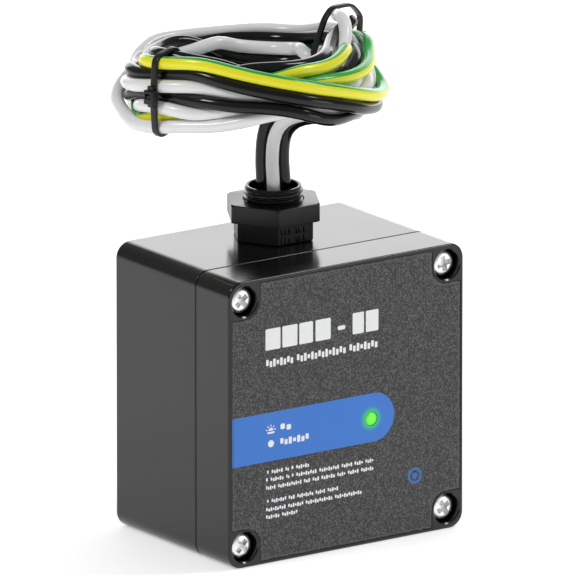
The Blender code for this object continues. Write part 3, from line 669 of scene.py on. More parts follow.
# How many of a lead's strips are striped
STRIPES = {"green_yellow": 10}
CORE_RADIUS = 0.29 * MM
CORE_PROUD = 0.5 * MM
CORE_DEPTH = 2.0 * MM


def core_spots():
    """Nineteen round strands, packed in two rings round one."""
    step = 2.06 * CORE_RADIUS
    spots = [(0.0, 0.0)]
    for ring, count in ((1, 6), (2, 12)):
        for i in range(count):
            a = 2 * math.pi * i / count
            spots.append((ring * step * math.cos(a), ring * step * math.sin(a)))
    return spots


def stranded_core(name, line):
    """The copper strands that show at a lead's cut end."""
    heading = (line[-1] - line[-2]).normalized()
    across = heading.orthogonal().normalized()
    up = heading.cross(across)
    meshes = []
    for i, (x, y) in enumerate(core_spots()):
        middle = line[-1] + across * x + up * y
        proud = CORE_PROUD * (0.8 + 0.2 * math.sin(2.4 * i))
        ends = [middle - heading * CORE_DEPTH, middle, middle + heading * proud]
        meshes.append(tube(name, ends, CORE_RADIUS, 10, side=across, end_rim=0.06 * MM))
    return joined(name, meshes)


def build_leads(routes, finishes, copper):
    """The four leads as cords with bare ends. The ties hold all four."""
    for name, line in routes.items():
        run = f"lead_{name}_run"
        mesh = tube(run, line, LEAD_RADIUS, TUBE_STEPS, STRIPES.get(name), end_rim=0.25 * MM)
        nodes = (f"lead_{name}", "lead_coil")
        lead = show(run, mesh, "enclosure", finishes[name], nodes, 50, False)
        core_name = f"lead_{name}_core"
        core = show(core_name, stranded_core(core_name, line), "enclosure", copper, weighted=False)


# Cable ties

TIE_WIDTH = 2.5 * MM
TIE_THICKNESS = 1.1 * MM
TIE_GAP = 0.1
HEAD_OFFSET = 1.35
LOOP_POINTS = 120
TIES = {
    "cable_tie_left": {"degrees": 226.0, "loose": (), "head": 0.962},
    "cable_tie_right": {
        "degrees": 37.0,
        "loose": ((36.0, 73.0), (38.0, 75.3), (44.0, 75.3), (46.5, 72.5)),
        "head": 0.9,
    },
}


def section_spots(routes, section):
    """Where the leads cross the coil's section, as (radius, height above the enclosure) in millimetres."""
    centre, outward, sideways = section.centre, section.outward, section.sideways
    spots = []
    for line in routes.values():
        for first, second in zip(line, line[1:]):
            before, after = (first - centre).dot(sideways), (second - centre).dot(sideways)
            if before * after > 0 or before == after:
                continue
            place = first.lerp(second, before / (before - after)) - centre
            if place.dot(outward) > 0:
                spots.append((place.dot(outward) / MM, place.z / MM))
    return spots


def hull_of(points):
    """The convex outline of some points, counter-clockwise."""
    points = sorted(set(points))
    halves = []
    for ordered in (points, points[::-1]):
        half = []
        for point in ordered:
            while len(half) > 1 and turn_of(half[-2], half[-1], point) <= 0:
                half.pop()
            half.append(point)
        halves.append(half[:-1])
    return halves[0] + halves[1]


def turn_of(a, b, c):
    return (b[0] - a[0]) * (c[1] - a[1]) - (b[1] - a[1]) * (c[0] - a[0])


def loop_round(spots, reach):
    """A smooth closed loop that stands off the spots by reach, in millimetres."""
    ring = [(math.cos(math.tau * i / 24) * reach, math.sin(math.tau * i / 24) * reach) for i in range(24)]
    outline = hull_of([(x + dx, z + dz) for x, z in spots for dx, dz in ring])
    start = max(range(len(outline)), key=lambda i: outline[i][0])
    outline = np.array(outline[start:] + outline[:start])
    closed = np.vstack([outline, outline[:1]])
    run = np.concatenate([[0], np.cumsum(np.linalg.norm(np.diff(closed, axis=0), axis=1))])
    marks = np.linspace(0, run[-1], LOOP_POINTS + 1)[:-1]
    loop = np.stack([np.interp(marks, run, closed[:, i]) for i in range(2)], axis=1)
    for _ in range(3):
        loop = 0.5 * loop + 0.25 * (np.roll(loop, 1, axis=0) + np.roll(loop, -1, axis=0))
    return loop


class Section:
    """The coil's section at an angle: points are (radius, height) in millimetres, and metres along."""

    def __init__(self, degrees):
        a = math.radians(degrees)
        self.outward = ACROSS * math.cos(a) + INWARD * math.sin(a)
        self.sideways = INWARD * math.cos(a) - ACROSS * math.sin(a)
        self.centre = lead_place((COIL_OFFSET, 0, 0))

    def place(self, radius, above, along=0.0):
        upward = Vector((0, 0, above * MM))
        return self.centre + self.outward * (radius * MM) + upward + self.sideways * along


def ribbon(name, section, loop):
    """A closed strap with a slightly crowned outer face and small square edges."""
    half, thick = TIE_WIDTH / 2, TIE_THICKNESS / MM / 2
    crown, shoulder = half * 0.75, thick * 0.7
    profile = (
        (-half, -thick),
        (half, -thick),
        (half, shoulder),
        (crown, thick),
        (-crown, thick),
        (-half, shoulder),
    )
    work = bmesh.new()
    rings = []
    count = len(loop)
    for i in range(count):
        along = loop[(i + 1) % count] - loop[i - 1]
        along /= np.linalg.norm(along)
        out = (along[1], -along[0])
        spots = [(loop[i][0] + out[0] * t, loop[i][1] + out[1] * t, w) for w, t in profile]
        rings.append([work.verts.new(section.place(*spot)) for spot in spots])
    skin(work, [*rings, rings[0]])
    return closed_mesh(work, name)


def oriented(mesh, origin, first, second, third):
    """The mesh with its X, Y and Z along the three directions."""
    turn = Matrix((first, second, third)).transposed().to_4x4()
    mesh.transform(Matrix.Translation(origin) @ turn)
    return mesh


def tie_head(name, section, loop, share):
    """The ratchet head on the strap's outer side, with its pawl window, and the short trimmed tail."""
    count = len(loop)
    i = int(share * count) % count
    along = loop[(i + 1) % count] - loop[i - 1]
    along /= np.linalg.norm(along)
    out = np.array((along[1], -along[0]))
    spot = loop[i] + out * HEAD_OFFSET
    origin = section.place(spot[0], spot[1])
    first = section.sideways
    second = (section.outward * float(along[0]) + Vector((0, 0, float(along[1])))).normalized()
    third = (section.outward * float(out[0]) + Vector((0, 0, float(out[1])))).normalized()
    head = block(f"{name}_block", (4.6 * MM, 5.2 * MM, 3.3 * MM), (0, 0, 0), 0.5 * MM)
    window = block("window", (2.7 * MM, 2.0 * MM, 2.0 * MM), (0, 0.5 * MM, 1.4 * MM), 0.0)
    slot_cut = block("slot", (2.7 * MM, 6.0 * MM, 1.3 * MM), (0, 0, 0.1 * MM), 0.0)
    head = cut(head, [window, slot_cut])
    tail = block(f"{name}_tail", (2.4 * MM, 7.6 * MM, 1.0 * MM), (0, 0.2 * MM, 0.1 * MM), 0.12 * MM, 2)
    teeth = [
        block("tooth", (1.6 * MM, 0.28 * MM, 0.22 * MM), (0, (2.9 + 0.42 * k) * MM, -0.45 * MM), 0.03 * MM, 1)
        for k in range(3)
    ]
    pawl = block("pawl", (1.8 * MM, 1.0 * MM, 0.7 * MM), (0, 0.2 * MM, 1.0 * MM), 0.12 * MM, 2)
    return oriented(joined(f"{name}_head", [head, tail, pawl, *teeth]), origin, first, second, third)


def build_ties(routes, finish):
    pieces = []
    for name, tie in TIES.items():
        section = Section(tie["degrees"])
        spots = section_spots(routes, section) + list(tie["loose"])
        loop = loop_round(spots, LEAD_RADIUS / MM + TIE_THICKNESS / MM / 2 + TIE_GAP)
        strap = ribbon(f"{name}_strap", section, loop)
        head = tie_head(name, section, loop, tie["head"])
        pieces.append(show(f"{name}_strap", strap, "enclosure", finish, name, 50))
        pieces.append(show(f"{name}_head", head, "enclosure", finish, name, 30))
    return pieces


# Conduit fitting

THREAD_CREST = 10.65 * MM
THREAD_ROOT = 9.85 * MM
THREAD_PITCH = 1.814 * MM
BORE = 8.8 * MM
HEX_FLATS = 27.0 * MM
NUT_FLATS = 31.7 * MM
INNER_NUT_FLATS = 29.0 * MM
NUT_BORE = 11.0 * MM
HEX_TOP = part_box("locknut")[0].z - 0.3 * MM
HEX_BOTTOM = TOP + 0.3 * MM
THREAD_STEPS = 96
ROWS_PER_PITCH = 14
MARK_FACE = HEX_FLATS / 2
# The raised bars' middles and widths, in millimetres
RAISED_BARS = ((-5.6, 1.1), (-4.0, 1.1), (-2.3, 0.9), (0.6, 0.6), (2.0, 1.0), (4.2, 1.3))


def thread_radius(angle, height, top, low):
    """The thread's surface at this angle and height: a round-topped ridge that fades in at both ends."""
    phase = (height / THREAD_PITCH - angle / math.tau) % 1.0
    rise = max(0.0, 1.0 - abs(phase - 0.5) / 0.42)
    ridge = min(1.0, rise * 1.45)
    above, below = (top - height) / (0.9 * THREAD_PITCH), (height - low) / (0.5 * THREAD_PITCH)
    fade = max(0.0, min(1.0, above, below + 0.3))
    return THREAD_ROOT + (THREAD_CREST - THREAD_ROOT) * ridge * fade


def threaded_tube(name, low, high, bore):
    """A tube with a right-handed thread outside and a chamfered mouth."""
    work = bmesh.new()
    rows = int((high - low) / (THREAD_PITCH / ROWS_PER_PITCH))
    turns = [math.tau * i / THREAD_STEPS for i in range(THREAD_STEPS)]
    rings = []
    for row in range(rows + 1):
        height = low + (high - low) * row / rows
        rings.append(ring_at(work, height, [thread_radius(a, height, high, low) for a in turns]))
    edge = 0.45 * MM
    for radius, height in (
        (THREAD_ROOT - edge * 0.4, high),
        (bore + edge, high),
        (bore + edge * 0.3, high - edge * 0.3),
        (bore, high - edge),
        (bore, low),
    ):
        rings.append(ring_at(work, height, [radius] * THREAD_STEPS))
    skin(work, [*rings, rings[0]])
    return closed_mesh(work, name)


def holed_hexagon(name, flats, bore, low, high, corner, rim, rim_low, chamfer=0.0):
    """A hexagonal body with a round hole, rounded edges and, on a nut, turned-down corners."""
    mesh = plate(name, hexagon(flats, corner), low, high, rim, rim_low)
    cutters = [plate("hole", circle(bore, 96), low - MM, high + MM)]
    mesh = cut(mesh, cutters)
    if chamfer:
        reach = flats / 2 / math.cos(math.radians(30)) - corner * 0.1547
        outer, inner = reach + 2 * MM, reach - chamfer * 1.7
        fall = chamfer * 2.2
        profile = [(0, high), (inner, high), (outer, high - fall * (outer - inner) / (chamfer * 1.7))]
        profile += [(outer, low - MM), (0, low - MM)]
        mesh = cut(mesh, [turned_mesh("corners", profile)], "INTERSECT")
    return mesh


def raised_marks():
    """Plain raised bars in place of the moulded size letters, in two rows on the hex's front flat."""
    meshes = []
    for height, share in ((HEX_TOP - 2.1 * MM, 1.0), (HEX_TOP - 5.3 * MM, 0.92)):
        for k, (x, width) in enumerate(RAISED_BARS):
            tall = 2.1 * MM * share * (1.0 if k % 2 else 0.9)
            centre = (x * MM, -MARK_FACE, height)
            meshes.append(block("mark", (width * MM, 0.9 * MM, tall), centre, 0.14 * MM, 2))
    centre = (0, -MARK_FACE, HEX_TOP - 3.7 * MM)
    meshes.append(block("mark_rule", (11.4 * MM, 0.6 * MM, 0.3 * MM), centre, 0.08 * MM, 2))
    return meshes


def build_fitting(nylon):
    thread = threaded_tube("nipple_thread", NIPPLE_LOW.z, NIPPLE_HIGH.z, BORE)
    hole = THREAD_ROOT - 0.3 * MM
    body = holed_hexagon("nipple_hex", HEX_FLATS, hole, HEX_BOTTOM, HEX_TOP, 1.0 * MM, 0.25 * MM, 0.4 * MM)
    mesh = moved(joined("conduit_nipple_body", [thread, body, *raised_marks()]), NIPPLE)
    show("conduit_nipple_body", mesh, "enclosure", nylon, "conduit_nipple", 30)
    for node, ride, flats, corner, rim, chamfer in (
        ("locknut", "locknut", NUT_FLATS, 1.6, 0.35, 0.35),
        ("inner_locknut", "enclosure", INNER_NUT_FLATS, 1.5, 0.3, 0.5),
    ):
        low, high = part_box(node)
        sizes = (corner * MM, rim * MM, 0.3 * MM, chamfer * MM)
        nut = holed_hexagon(f"{node}_body", flats, NUT_BORE, low.z, high.z, *sizes)
        show(f"{node}_body", moved(nut, NIPPLE), ride, nylon, node, 28)


# Enclosure

CORNER = 5.7 * MM
WALL = 3.2 * MM
FACE_WALL = 3.0 * MM
PILLAR = 13.5 * MM
PILLAR_CORNER = 5.0 * MM
CASE_RIM = CASE_LOW.y
COVER_RIM = COVER_HIGH.y
REACH = 1.0 * MM
SCREW_SPOTS = {
    name: tuple((a + b) / 2 for a, b in zip(*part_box(f"cover_screw_{name}")))
    for name in ("upper_left", "upper_right", "lower_left", "lower_right")
}
HEAD_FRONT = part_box("cover_screw_upper_left")[0].y
HEAD_RADIUS = 4.6 * MM
HEAD_HEIGHT = 2.6 * MM
HEAD_CROWN = 0.8 * MM
COUNTERBORE = 5.35 * MM
COUNTERBORE_FLOOR = HEAD_FRONT + HEAD_HEIGHT + 1.6 * MM
BOARD_LOW, BOARD_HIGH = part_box("circuit_board")
BOARD_SPOTS = [
    tuple((a + b) / 2 for a, b in zip(*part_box(f"board_screw_{i}"))) for i in (1, 2, 3, 4)
]


def cavity():
    notch = (PILLAR - WALL, PILLAR - WALL)
    return notched_rectangle(WIDTH - 2 * WALL, HEIGHT - 2 * WALL, notch, PILLAR_CORNER)


def enclosure_outline(inset=0.0):
    return rounded_rectangle(WIDTH - 2 * inset, HEIGHT - 2 * inset, max(CORNER - inset, 2 * MM))


def rim_ring(inset, width, low_y, high_y):
    """A ring that follows the enclosure's edge, this far inside it."""
    outer = upright("rim", enclosure_outline(inset), low_y, high_y)
    inner = upright("rim", enclosure_outline(inset + width), low_y - REACH, high_y + REACH)
    return cut(outer, [inner])


def build_case(finish):
    case = upright("case", enclosure_outline(), CASE_RIM, BACK, 0.45 * MM, 1.2 * MM, 4)
    cutters = [
        upright("cavity", cavity(), CASE_RIM - REACH, BACK - WALL),
        rim_ring(0.75 * MM, 1.8 * MM, CASE_RIM - REACH, CASE_RIM + 1.7 * MM),
        moved(plate("nipple_hole", circle(11 * MM, 96), TOP - 2 * WALL, TOP + REACH), NIPPLE),
    ]
    for x, _, z in SCREW_SPOTS.values():
        cutters.append(rod("insert_hole", 3.2 * MM, CASE_RIM - REACH, CASE_RIM + 11.2 * MM, x, z))
    case = cut(case, cutters)
    posts = [case]
    for x, _, z in BOARD_SPOTS:
        post = rod("post", 3.6 * MM, BOARD_HIGH.y + 0.3 * MM, BACK - WALL / 2, x, z)
        post = cut(post, [rod("hole", 1.6 * MM, BOARD_HIGH.y - REACH, BOARD_HIGH.y + 8.5 * MM, x, z)])
        posts.append(post)
        for size in ((9.4 * MM, 8 * MM, 1.0 * MM), (1.0 * MM, 8 * MM, 9.4 * MM)):
            web = block("web", size, (x, BACK - WALL - 3.6 * MM, z), 0.15 * MM, 2)
            posts.append(cut(web, [rod("hole", 2.4 * MM, BOARD_HIGH.y - REACH, BACK, x, z)]))
    shell = joined("rear_case_shell", posts)
    show("rear_case_shell", shell, "enclosure", finish, "rear_case", 30)


SCREW_INSET = (7.1 * MM, 7.5 * MM)
LABEL_MARGIN = 1.25 * MM
LABEL_NOTCH = 6.4 * MM


def label_outline(inset):
    margin = LABEL_MARGIN + inset
    notch = tuple(place + LABEL_NOTCH - LABEL_MARGIN for place in SCREW_INSET)
    return notched_rectangle(WIDTH - 2 * margin, HEIGHT - 2 * margin, notch, LABEL_NOTCH)


def build_cover(finish):
    cover = upright("cover", enclosure_outline(), FRONT, COVER_RIM, 0.8 * MM, 0.45 * MM, 4)
    cutters = [
        upright("cavity", cavity(), FRONT + FACE_WALL, COVER_RIM + REACH),
        upright("pocket", label_outline(0), FRONT - REACH, FRONT + 0.6 * MM),
        rod("lamp_hole", 2.8 * MM, FRONT - REACH, FRONT + FACE_WALL + REACH, LAMP.x, LAMP.z),
    ]
    mouth, floor = COUNTERBORE + 0.5 * MM, FRONT - COUNTERBORE_FLOOR - REACH
    profile = [(0, 0), (mouth, 0), (mouth, -REACH), (COUNTERBORE, -REACH - 0.5 * MM)]
    profile += [(COUNTERBORE, floor), (0, floor)]
    for x, _, z in SCREW_SPOTS.values():
        bore = turned_mesh("counterbore", profile)
        cutters.append(moved(bore, (x, FRONT - REACH, z), FACING_FRONT))
        cutters.append(rod("screw_hole", 2.4 * MM, FRONT, COVER_RIM + REACH, x, z))
    cover = cut(cover, cutters)
    ribs = [cover]
    for x in (-22.0, 0.0, 22.0):
        centre = (x * MM, FRONT + FACE_WALL + 1.9 * MM, MIDDLE)
        ribs.append(block("rib", (1.2 * MM, 4.0 * MM, 90 * MM), centre, 0.2 * MM, 2))
    shell = joined("front_cover_shell", ribs)
    show("front_cover_shell", shell, "cover", finish, "front_cover", 30)


def build_label(finish):
    label = upright("label", label_outline(0.2 * MM), FRONT + 0.02 * MM, FRONT + 0.45 * MM, 0.08 * MM, 0.0, 2)
    label = cut(label, [rod("hole", 2.75 * MM, FRONT - REACH, FRONT + REACH, LAMP.x, LAMP.z)])
    label.name = "face_label_film"
    show("face_label_film", label, "cover", finish, "face_label", 30)


INK = 0.03 * MM


def printed(outline, middle=0.0, depth=INK):
    """A thin printed shape on the label's face: outline points are x and height."""
    return upright("ink", outline, FRONT + 0.02 * MM - depth, FRONT + 0.03 * MM, 0.0, 0.0, 1, middle)


def bar(x_low, x_high, z_low, z_high, corner=0.0, depth=INK):
    width, height = (x_high - x_low) * MM, (z_high - z_low) * MM
    centre = ((x_low + x_high) / 2 * MM, (z_low + z_high) / 2 * MM)
    corner = min(corner * MM, width * 0.45, height * 0.45)
    return printed(rounded_rectangle(width, height, max(corner, 0.02 * MM), 4, centre), 0.0, depth)


# Where the words stood, each as a run of plain blocks, in millimetres: low x, high x, low z, high z
TITLE_BLOCKS = (
    (-35.15, -28.69, 78.3, 86.1),
    (-27.87, -21.34, 78.3, 86.1),
    (-20.53, -14.61, 78.3, 86.1),
    (-13.52, -6.93, 78.3, 86.1),
    (-3.87, -0.6, 80.9, 82.4),
    (2.59, 7.49, 78.3, 86.1),
    (8.37, 13.81, 78.3, 86.1),
)
SUBTITLE_WORDS = ((-35.0, -22.9), (-21.7, -0.1), (1.1, 13.7))
PARAGRAPH_LINES = (
    (33.5, ((-34.5, -33.7), (-32.6, -27.5), (-26.6, -24.9), (-24.0, -22.9), (-22.0, -16.1))),
    (30.7, (
        (-35.0, -34.0), (-33.0, -27.2), (-26.2, -24.7), (-23.8, -22.9), (-21.9, -12.9),
        (-11.9, -3.1), (-2.2, 2.6), (3.4, 7.3), (8.2, 11.8),
    )),
    (27.8, (
        (-35.0, -30.7), (-29.8, -19.4), (-18.6, -15.7), (-14.8, -11.8),
        (-11.0, -4.9), (-4.1, -0.4), (0.5, 5.4), (6.3, 11.8),
    )),
    (22.8, ((-34.5, -33.7), (-32.6, -26.0), (-25.2, -22.4), (-21.5, -14.3), (-13.5, -9.2), (-8.3, -3.5))),
    (19.8, ((-35.0, -26.3), (-25.4, -18.6), (-17.8, -6.0), (-5.1, 6.7))),
    (17.1, ((-35.0, -29.0), (-28.1, -21.2))),
)
BAND_LEFT, BAND_LOW, BAND_HIGH = -49.5, 37.5, 55.4
BAND_ROUND = (BAND_HIGH - BAND_LOW) / 2
BAND_MIDDLE = (BAND_HIGH + BAND_LOW) / 2
BAND_CENTRE_X = 11.8
LEGEND_X = -32.8
LEGEND_UPPER, LEGEND_LOWER = 49.2, 43.9
MARK_SPOT = (29.8 * MM, 22.0 * MM)


def greeked(x_low, x_high, z_low, z_high, letter):
    """A word's width filled with short upright strokes, which spell nothing."""
    meshes = []
    count = max(1, round((x_high - x_low) / letter))
    step = (x_high - x_low) / count
    tall = z_high - z_low
    for i in range(count):
        left = x_low + i * step
        low = z_low + (0.0 if i % 3 else tall * 0.22)
        high = z_high - (tall * 0.25 if i % 2 else 0.0)
        meshes.append(bar(left + step * 0.08, left + step * 0.80, low, high, step * 0.18))
    return meshes


def pale_print():
    meshes = []
    for block_of in TITLE_BLOCKS:
        meshes.append(bar(*block_of, corner=0.5))
    for low, high in SUBTITLE_WORDS:
        meshes += greeked(low, high, 72.0, 74.9, 1.55)
    for middle, words in PARAGRAPH_LINES:
        for low, high in words:
            meshes += greeked(low, high, middle - 0.75, middle + 0.75, 0.95)
    meshes += greeked(-28.9, -23.6, LEGEND_UPPER - 1.3, LEGEND_UPPER + 1.3, 2.6)
    meshes += greeked(-28.9, -16.1, LEGEND_LOWER - 1.3, LEGEND_LOWER + 1.3, 1.8)
    meshes.append(printed(circle(1.3 * MM, 32, (LEGEND_X * MM, LEGEND_LOWER * MM))))
    meshes += lamp_symbol(LEGEND_X, LEGEND_UPPER)
    return meshes


def lamp_symbol(x, z):
    """A domed lamp on a base, with five rays."""
    lamp = arc((x * MM, (z - 0.5) * MM), 1.05 * MM, 0, 180, 16)
    meshes = [printed(lamp), bar(x - 1.5, x + 1.5, z - 1.6, z - 0.9, 0.1)]
    for degrees in (10, 50, 90, 130, 170):
        a = math.radians(degrees)
        points = []
        for reach, side in ((1.45, -0.17), (2.2, -0.17), (2.2, 0.17), (1.45, 0.17)):
            px = x + reach * math.cos(a) - side * math.sin(a)
            pz = z - 0.5 + reach * math.sin(a) + side * math.cos(a)
            points.append((px * MM, pz * MM))
        meshes.append(printed(points))
    return meshes


def band_outline(grow=0.0):
    right = arc((BAND_CENTRE_X * MM, BAND_MIDDLE * MM), (BAND_ROUND + grow) * MM, -90, 90, 40)
    return [*right, (BAND_LEFT * MM, (BAND_HIGH + grow) * MM), (BAND_LEFT * MM, (BAND_LOW - grow) * MM)]


def label_border():
    """The thin line that follows the label's edge."""
    outer = upright("line", label_outline(0.75 * MM), FRONT - 0.002 * MM, FRONT + 0.03 * MM)
    return cut(outer, [upright("line", label_outline(1.0 * MM), FRONT - REACH, FRONT + REACH)])


def build_print(pale, blue, edge, mark):
    lamp_cut = rod("hole", 2.75 * MM, FRONT - REACH, FRONT + REACH, LAMP.x, LAMP.z)
    pieces = (
        ("label_print_pale", joined("label_print_pale", pale_print()), pale),
        ("label_band", cut(printed(band_outline(), depth=0.01 * MM), [lamp_cut]), blue),
        ("label_border", label_border(), edge),
    )
    for name, mesh, finish in pieces:
        show(name, mesh, "cover", finish, weighted=False)
    x, z = MARK_SPOT
    hole = rod("hole", 2.1 * MM, FRONT - REACH, FRONT + REACH, x, z)
    rings = [cut(printed(circle(3.0 * MM, 48, MARK_SPOT)), [hole]), printed(circle(1.1 * MM, 48, MARK_SPOT))]
    show("label_mark", joined("label_mark", rings), "cover", mark, weighted=False)


# Screws


def cross_head(name, head_radius, head_height, radius, length, cross, pitch, steps=64):
    """A pan head screw along Z with a cross recess and thread rings. Its head stands on z = 0."""
    crown = head_height * 0.36
    profile = [(0, head_height), (head_radius * 0.35, head_height - crown * 0.03)]
    for k in range(1, 9):
        a = math.radians(90 - 90 * k / 8)
        profile.append((head_radius * (0.45 + 0.55 * math.cos(a)), head_height - crown * (1 - math.sin(a))))
    profile += [(head_radius, 0.25 * MM), (head_radius - 0.2 * MM, 0), (radius, 0)]
    count = int((length - 2 * MM) / pitch)
    for k in range(count):
        z = -1.4 * MM - k * pitch
        profile += [(radius, z), (radius - pitch * 0.45, z - pitch * 0.5)]
    profile += [(radius * 0.85, -length + 0.4 * MM), (radius * 0.6, -length), (0, -length)]
    mesh = turned_mesh(name, profile, steps)
    cutters = []
    for turn in (0, 90):
        arm = tapered("arm", cross, cross * 0.42, head_height * 0.75, head_height)
        cutters.append(moved(arm, turn=Matrix.Rotation(math.radians(turn), 4, "Z")))
    return cut(mesh, cutters)


def tapered(name, length, width, depth, top):
    """A slot cutter whose walls lean in towards its floor."""
    work = bmesh.new()
    rings = []
    for z, share in ((top + 0.3 * MM, 1.06), (top - depth, 0.55)):
        x, y = length / 2 * share, width / 2 * (0.9 if share > 1 else 0.6)
        rings.append([work.verts.new((sx * x, sy * y, z)) for sx, sy in ((1, 1), (-1, 1), (-1, -1), (1, -1))])
    skin(work, rings)
    work.faces.new(rings[0])
    work.faces.new(rings[1][::-1])
    return closed_mesh(work, name)


SCREW_TURNS = {"upper_left": 38, "upper_right": 12, "lower_left": 48, "lower_right": 30}


def build_screws(steel, brass, rubber):
    high = HEAD_HEIGHT + HEAD_CROWN
    for name, (x, _, z) in SCREW_SPOTS.items():
        mesh = cross_head("screw", HEAD_RADIUS, high, 1.95 * MM, 25 * MM, 5.6 * MM, 0.7 * MM)
        mesh.transform(Matrix.Rotation(math.radians(SCREW_TURNS[name]), 4, "Z"))
        moved(mesh, (x, HEAD_FRONT + HEAD_HEIGHT, z), FACING_FRONT)
        node = f"cover_screw_{name}"
        show(f"{node}_steel", mesh, f"screw_{name}", steel, node, 32)
        node = f"screw_seal_{name}"
        ring = turned_mesh("seal", round_section(3.05 * MM, 0.85 * MM, 0.6 * MM), 64)
        moved(ring, (x, centre_and_size(node)[0].y, z), FACING_FRONT)
        show(f"{node}_ring", ring, f"seal_{name}", rubber, node, 60)
        node = f"case_insert_{name}"
        low, high_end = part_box(node)
        insert = moved(insert_mesh(high_end.y - low.y), (x, low.y, z), FACING_FRONT)
        show(f"{node}_brass", insert, "enclosure", brass, node, 25)


KNURL = 0.16 * MM


def insert_mesh(length):
    """A knurled insert with a groove round its middle and a chamfered bore, running down from z = 0."""
    bore, root, crest, steps = 2.28 * MM, 2.62 * MM, 2.9 * MM, 96
    levels = (0.0, 0.35, 0.40, 0.46, 0.54, 0.60, 0.65, 1.0)
    knurled = (1, 1, 1, 0, 0, 1, 1, 1)
    work = bmesh.new()
    rings = []
    for level, rough in zip(levels, knurled):
        radii = [(crest if i % 4 < 2 else crest - KNURL) if rough else root for i in range(steps)]
        rings.append(ring_at(work, -length * level, radii))
    for radius, z in ((bore, -length), (bore, -0.4 * MM), (bore + 0.35 * MM, 0.0)):
        rings.append(ring_at(work, z, [radius] * steps))
    skin(work, [*rings, rings[0]])
    return closed_mesh(work, "insert")


PIPE_FACE = 2.72 * MM


def build_lamp(clear):
    """The light pipe: a domed face in the label, a shoulder behind the cover and a stem to the lamp."""
    shoulder = -(FACE_WALL + 0.3 * MM)
    back = shoulder - 1.0 * MM
    end = -(LAMP_HIGH.y - LAMP_LOW.y)
    profile = [
        *dome(PIPE_FACE, 0.6 * MM, 10),
        (PIPE_FACE, -1.0 * MM),
        (2.5 * MM, -1.2 * MM),
        (2.5 * MM, shoulder),
        (4.0 * MM, shoulder),
        (4.0 * MM, back),
        (2.0 * MM, back),
        (2.0 * MM, end),
        (0, end),
    ]
    mesh = moved(turned_mesh("pipe", profile, 64), (LAMP.x, FRONT - 0.25 * MM, LAMP.z), FACING_FRONT)
    show("status_light_pipe_clear", mesh, "cover", clear, "status_light_pipe", 30)


# Inside the enclosure

BOARD_FRONT, BOARD_BACK = BOARD_LOW.y, BOARD_HIGH.y
SOLDER = 0.05 * MM


def board_face(outline, depth=SOLDER):
    """A thin shape on the board's front: outline points are x and height."""
    return upright("trace", outline, BOARD_FRONT - depth, BOARD_FRONT + 0.02 * MM, 0.0, 0.0, 1, 0.0)


def trace(points, width):
    """A run of copper on the board between (x, height) points, with round corners."""
    meshes = []
    for (x1, z1), (x2, z2) in zip(points, points[1:]):
        along = math.atan2(z2 - z1, x2 - x1)
        right = arc((x2, z2), width / 2, math.degrees(along) - 90, math.degrees(along) + 90, 8)
        left = arc((x1, z1), width / 2, math.degrees(along) + 90, math.degrees(along) + 270, 8)
        meshes.append(board_face(right + left))
    return meshes


def build_board(laminate, copper, tin, ink, steel):
    centre, size = centre_and_size("circuit_board")
    outline = rounded_rectangle(size.x, size.z, 1.5 * MM)
    board = upright("board", outline, BOARD_FRONT, BOARD_BACK, 0.1 * MM, 0.1 * MM, 2, centre.z)
    holes = [rod("hole", 1.6 * MM, BOARD_FRONT - REACH, BOARD_BACK + REACH, x, z) for x, _, z in BOARD_SPOTS]
    board = cut(board, holes)
    show("circuit_board_laminate", board, "enclosure", laminate, "circuit_board", 30)
    runs, pads, marks = [], [], []
    spots = {node: centre_and_size(node) for node in BOARD_PARTS}
    for first, second, width in BOARD_RUNS:
        a, b = spots[first][0], spots[second][0]
        knee = (b.x, a.z) if width > 2 * MM else (a.x, b.z)
        runs += trace([(a.x, a.z), knee, (b.x, b.z)], width)
    for node, (middle, extent) in spots.items():
        place = (middle.x, middle.z)
        outer = rounded_rectangle(extent.x + 1.4 * MM, extent.z + 1.4 * MM, 0.6 * MM, 4, place)
        inner = rounded_rectangle(extent.x + 0.9 * MM, extent.z + 0.9 * MM, 0.5 * MM, 4, place)
        hole = upright("inner", inner, BOARD_FRONT - REACH, BOARD_FRONT + REACH, 0, 0, 1, 0.0)
        marks.append(cut(board_face(outer, 0.09 * MM), [hole]))
        for sign in (-1, 1):
            z = middle.z + sign * (extent.z / 2 + 1.6 * MM)
            pads.append(board_face(circle(0.75 * MM, 20, (middle.x, z)), 0.25 * MM))
    for x, _, z in BOARD_SPOTS:
        washer = board_face(circle(3.3 * MM, 48, (x, z)), 0.07 * MM)
        pads.append(cut(washer, [rod("hole", 1.7 * MM, BOARD_FRONT - REACH, BOARD_BACK, x, z)]))
    for part, meshes, finish, slot in (
        ("traces", runs, copper, "board_laminate"),
        ("pads", pads, tin, "terminal_tin"),
        ("outlines", marks, ink, "board_laminate"),
    ):
        name = f"circuit_board_{part}"
        show(name, joined(name, meshes), "enclosure", finish, weighted=False)
    for i, (x, _, z) in enumerate(BOARD_SPOTS):
        mesh = cross_head("board_screw", 2.7 * MM, 1.8 * MM, 1.3 * MM, 8.0 * MM, 3.0 * MM, 0.5 * MM, 40)
        mesh.transform(Matrix.Rotation(math.radians(17 + 31 * i), 4, "Z"))
        moved(mesh, (x, BOARD_FRONT - 0.3 * MM, z), FACING_FRONT)
        node = f"board_screw_{i + 1}"
        show(f"{node}_steel", mesh, "enclosure", steel, node, 32)


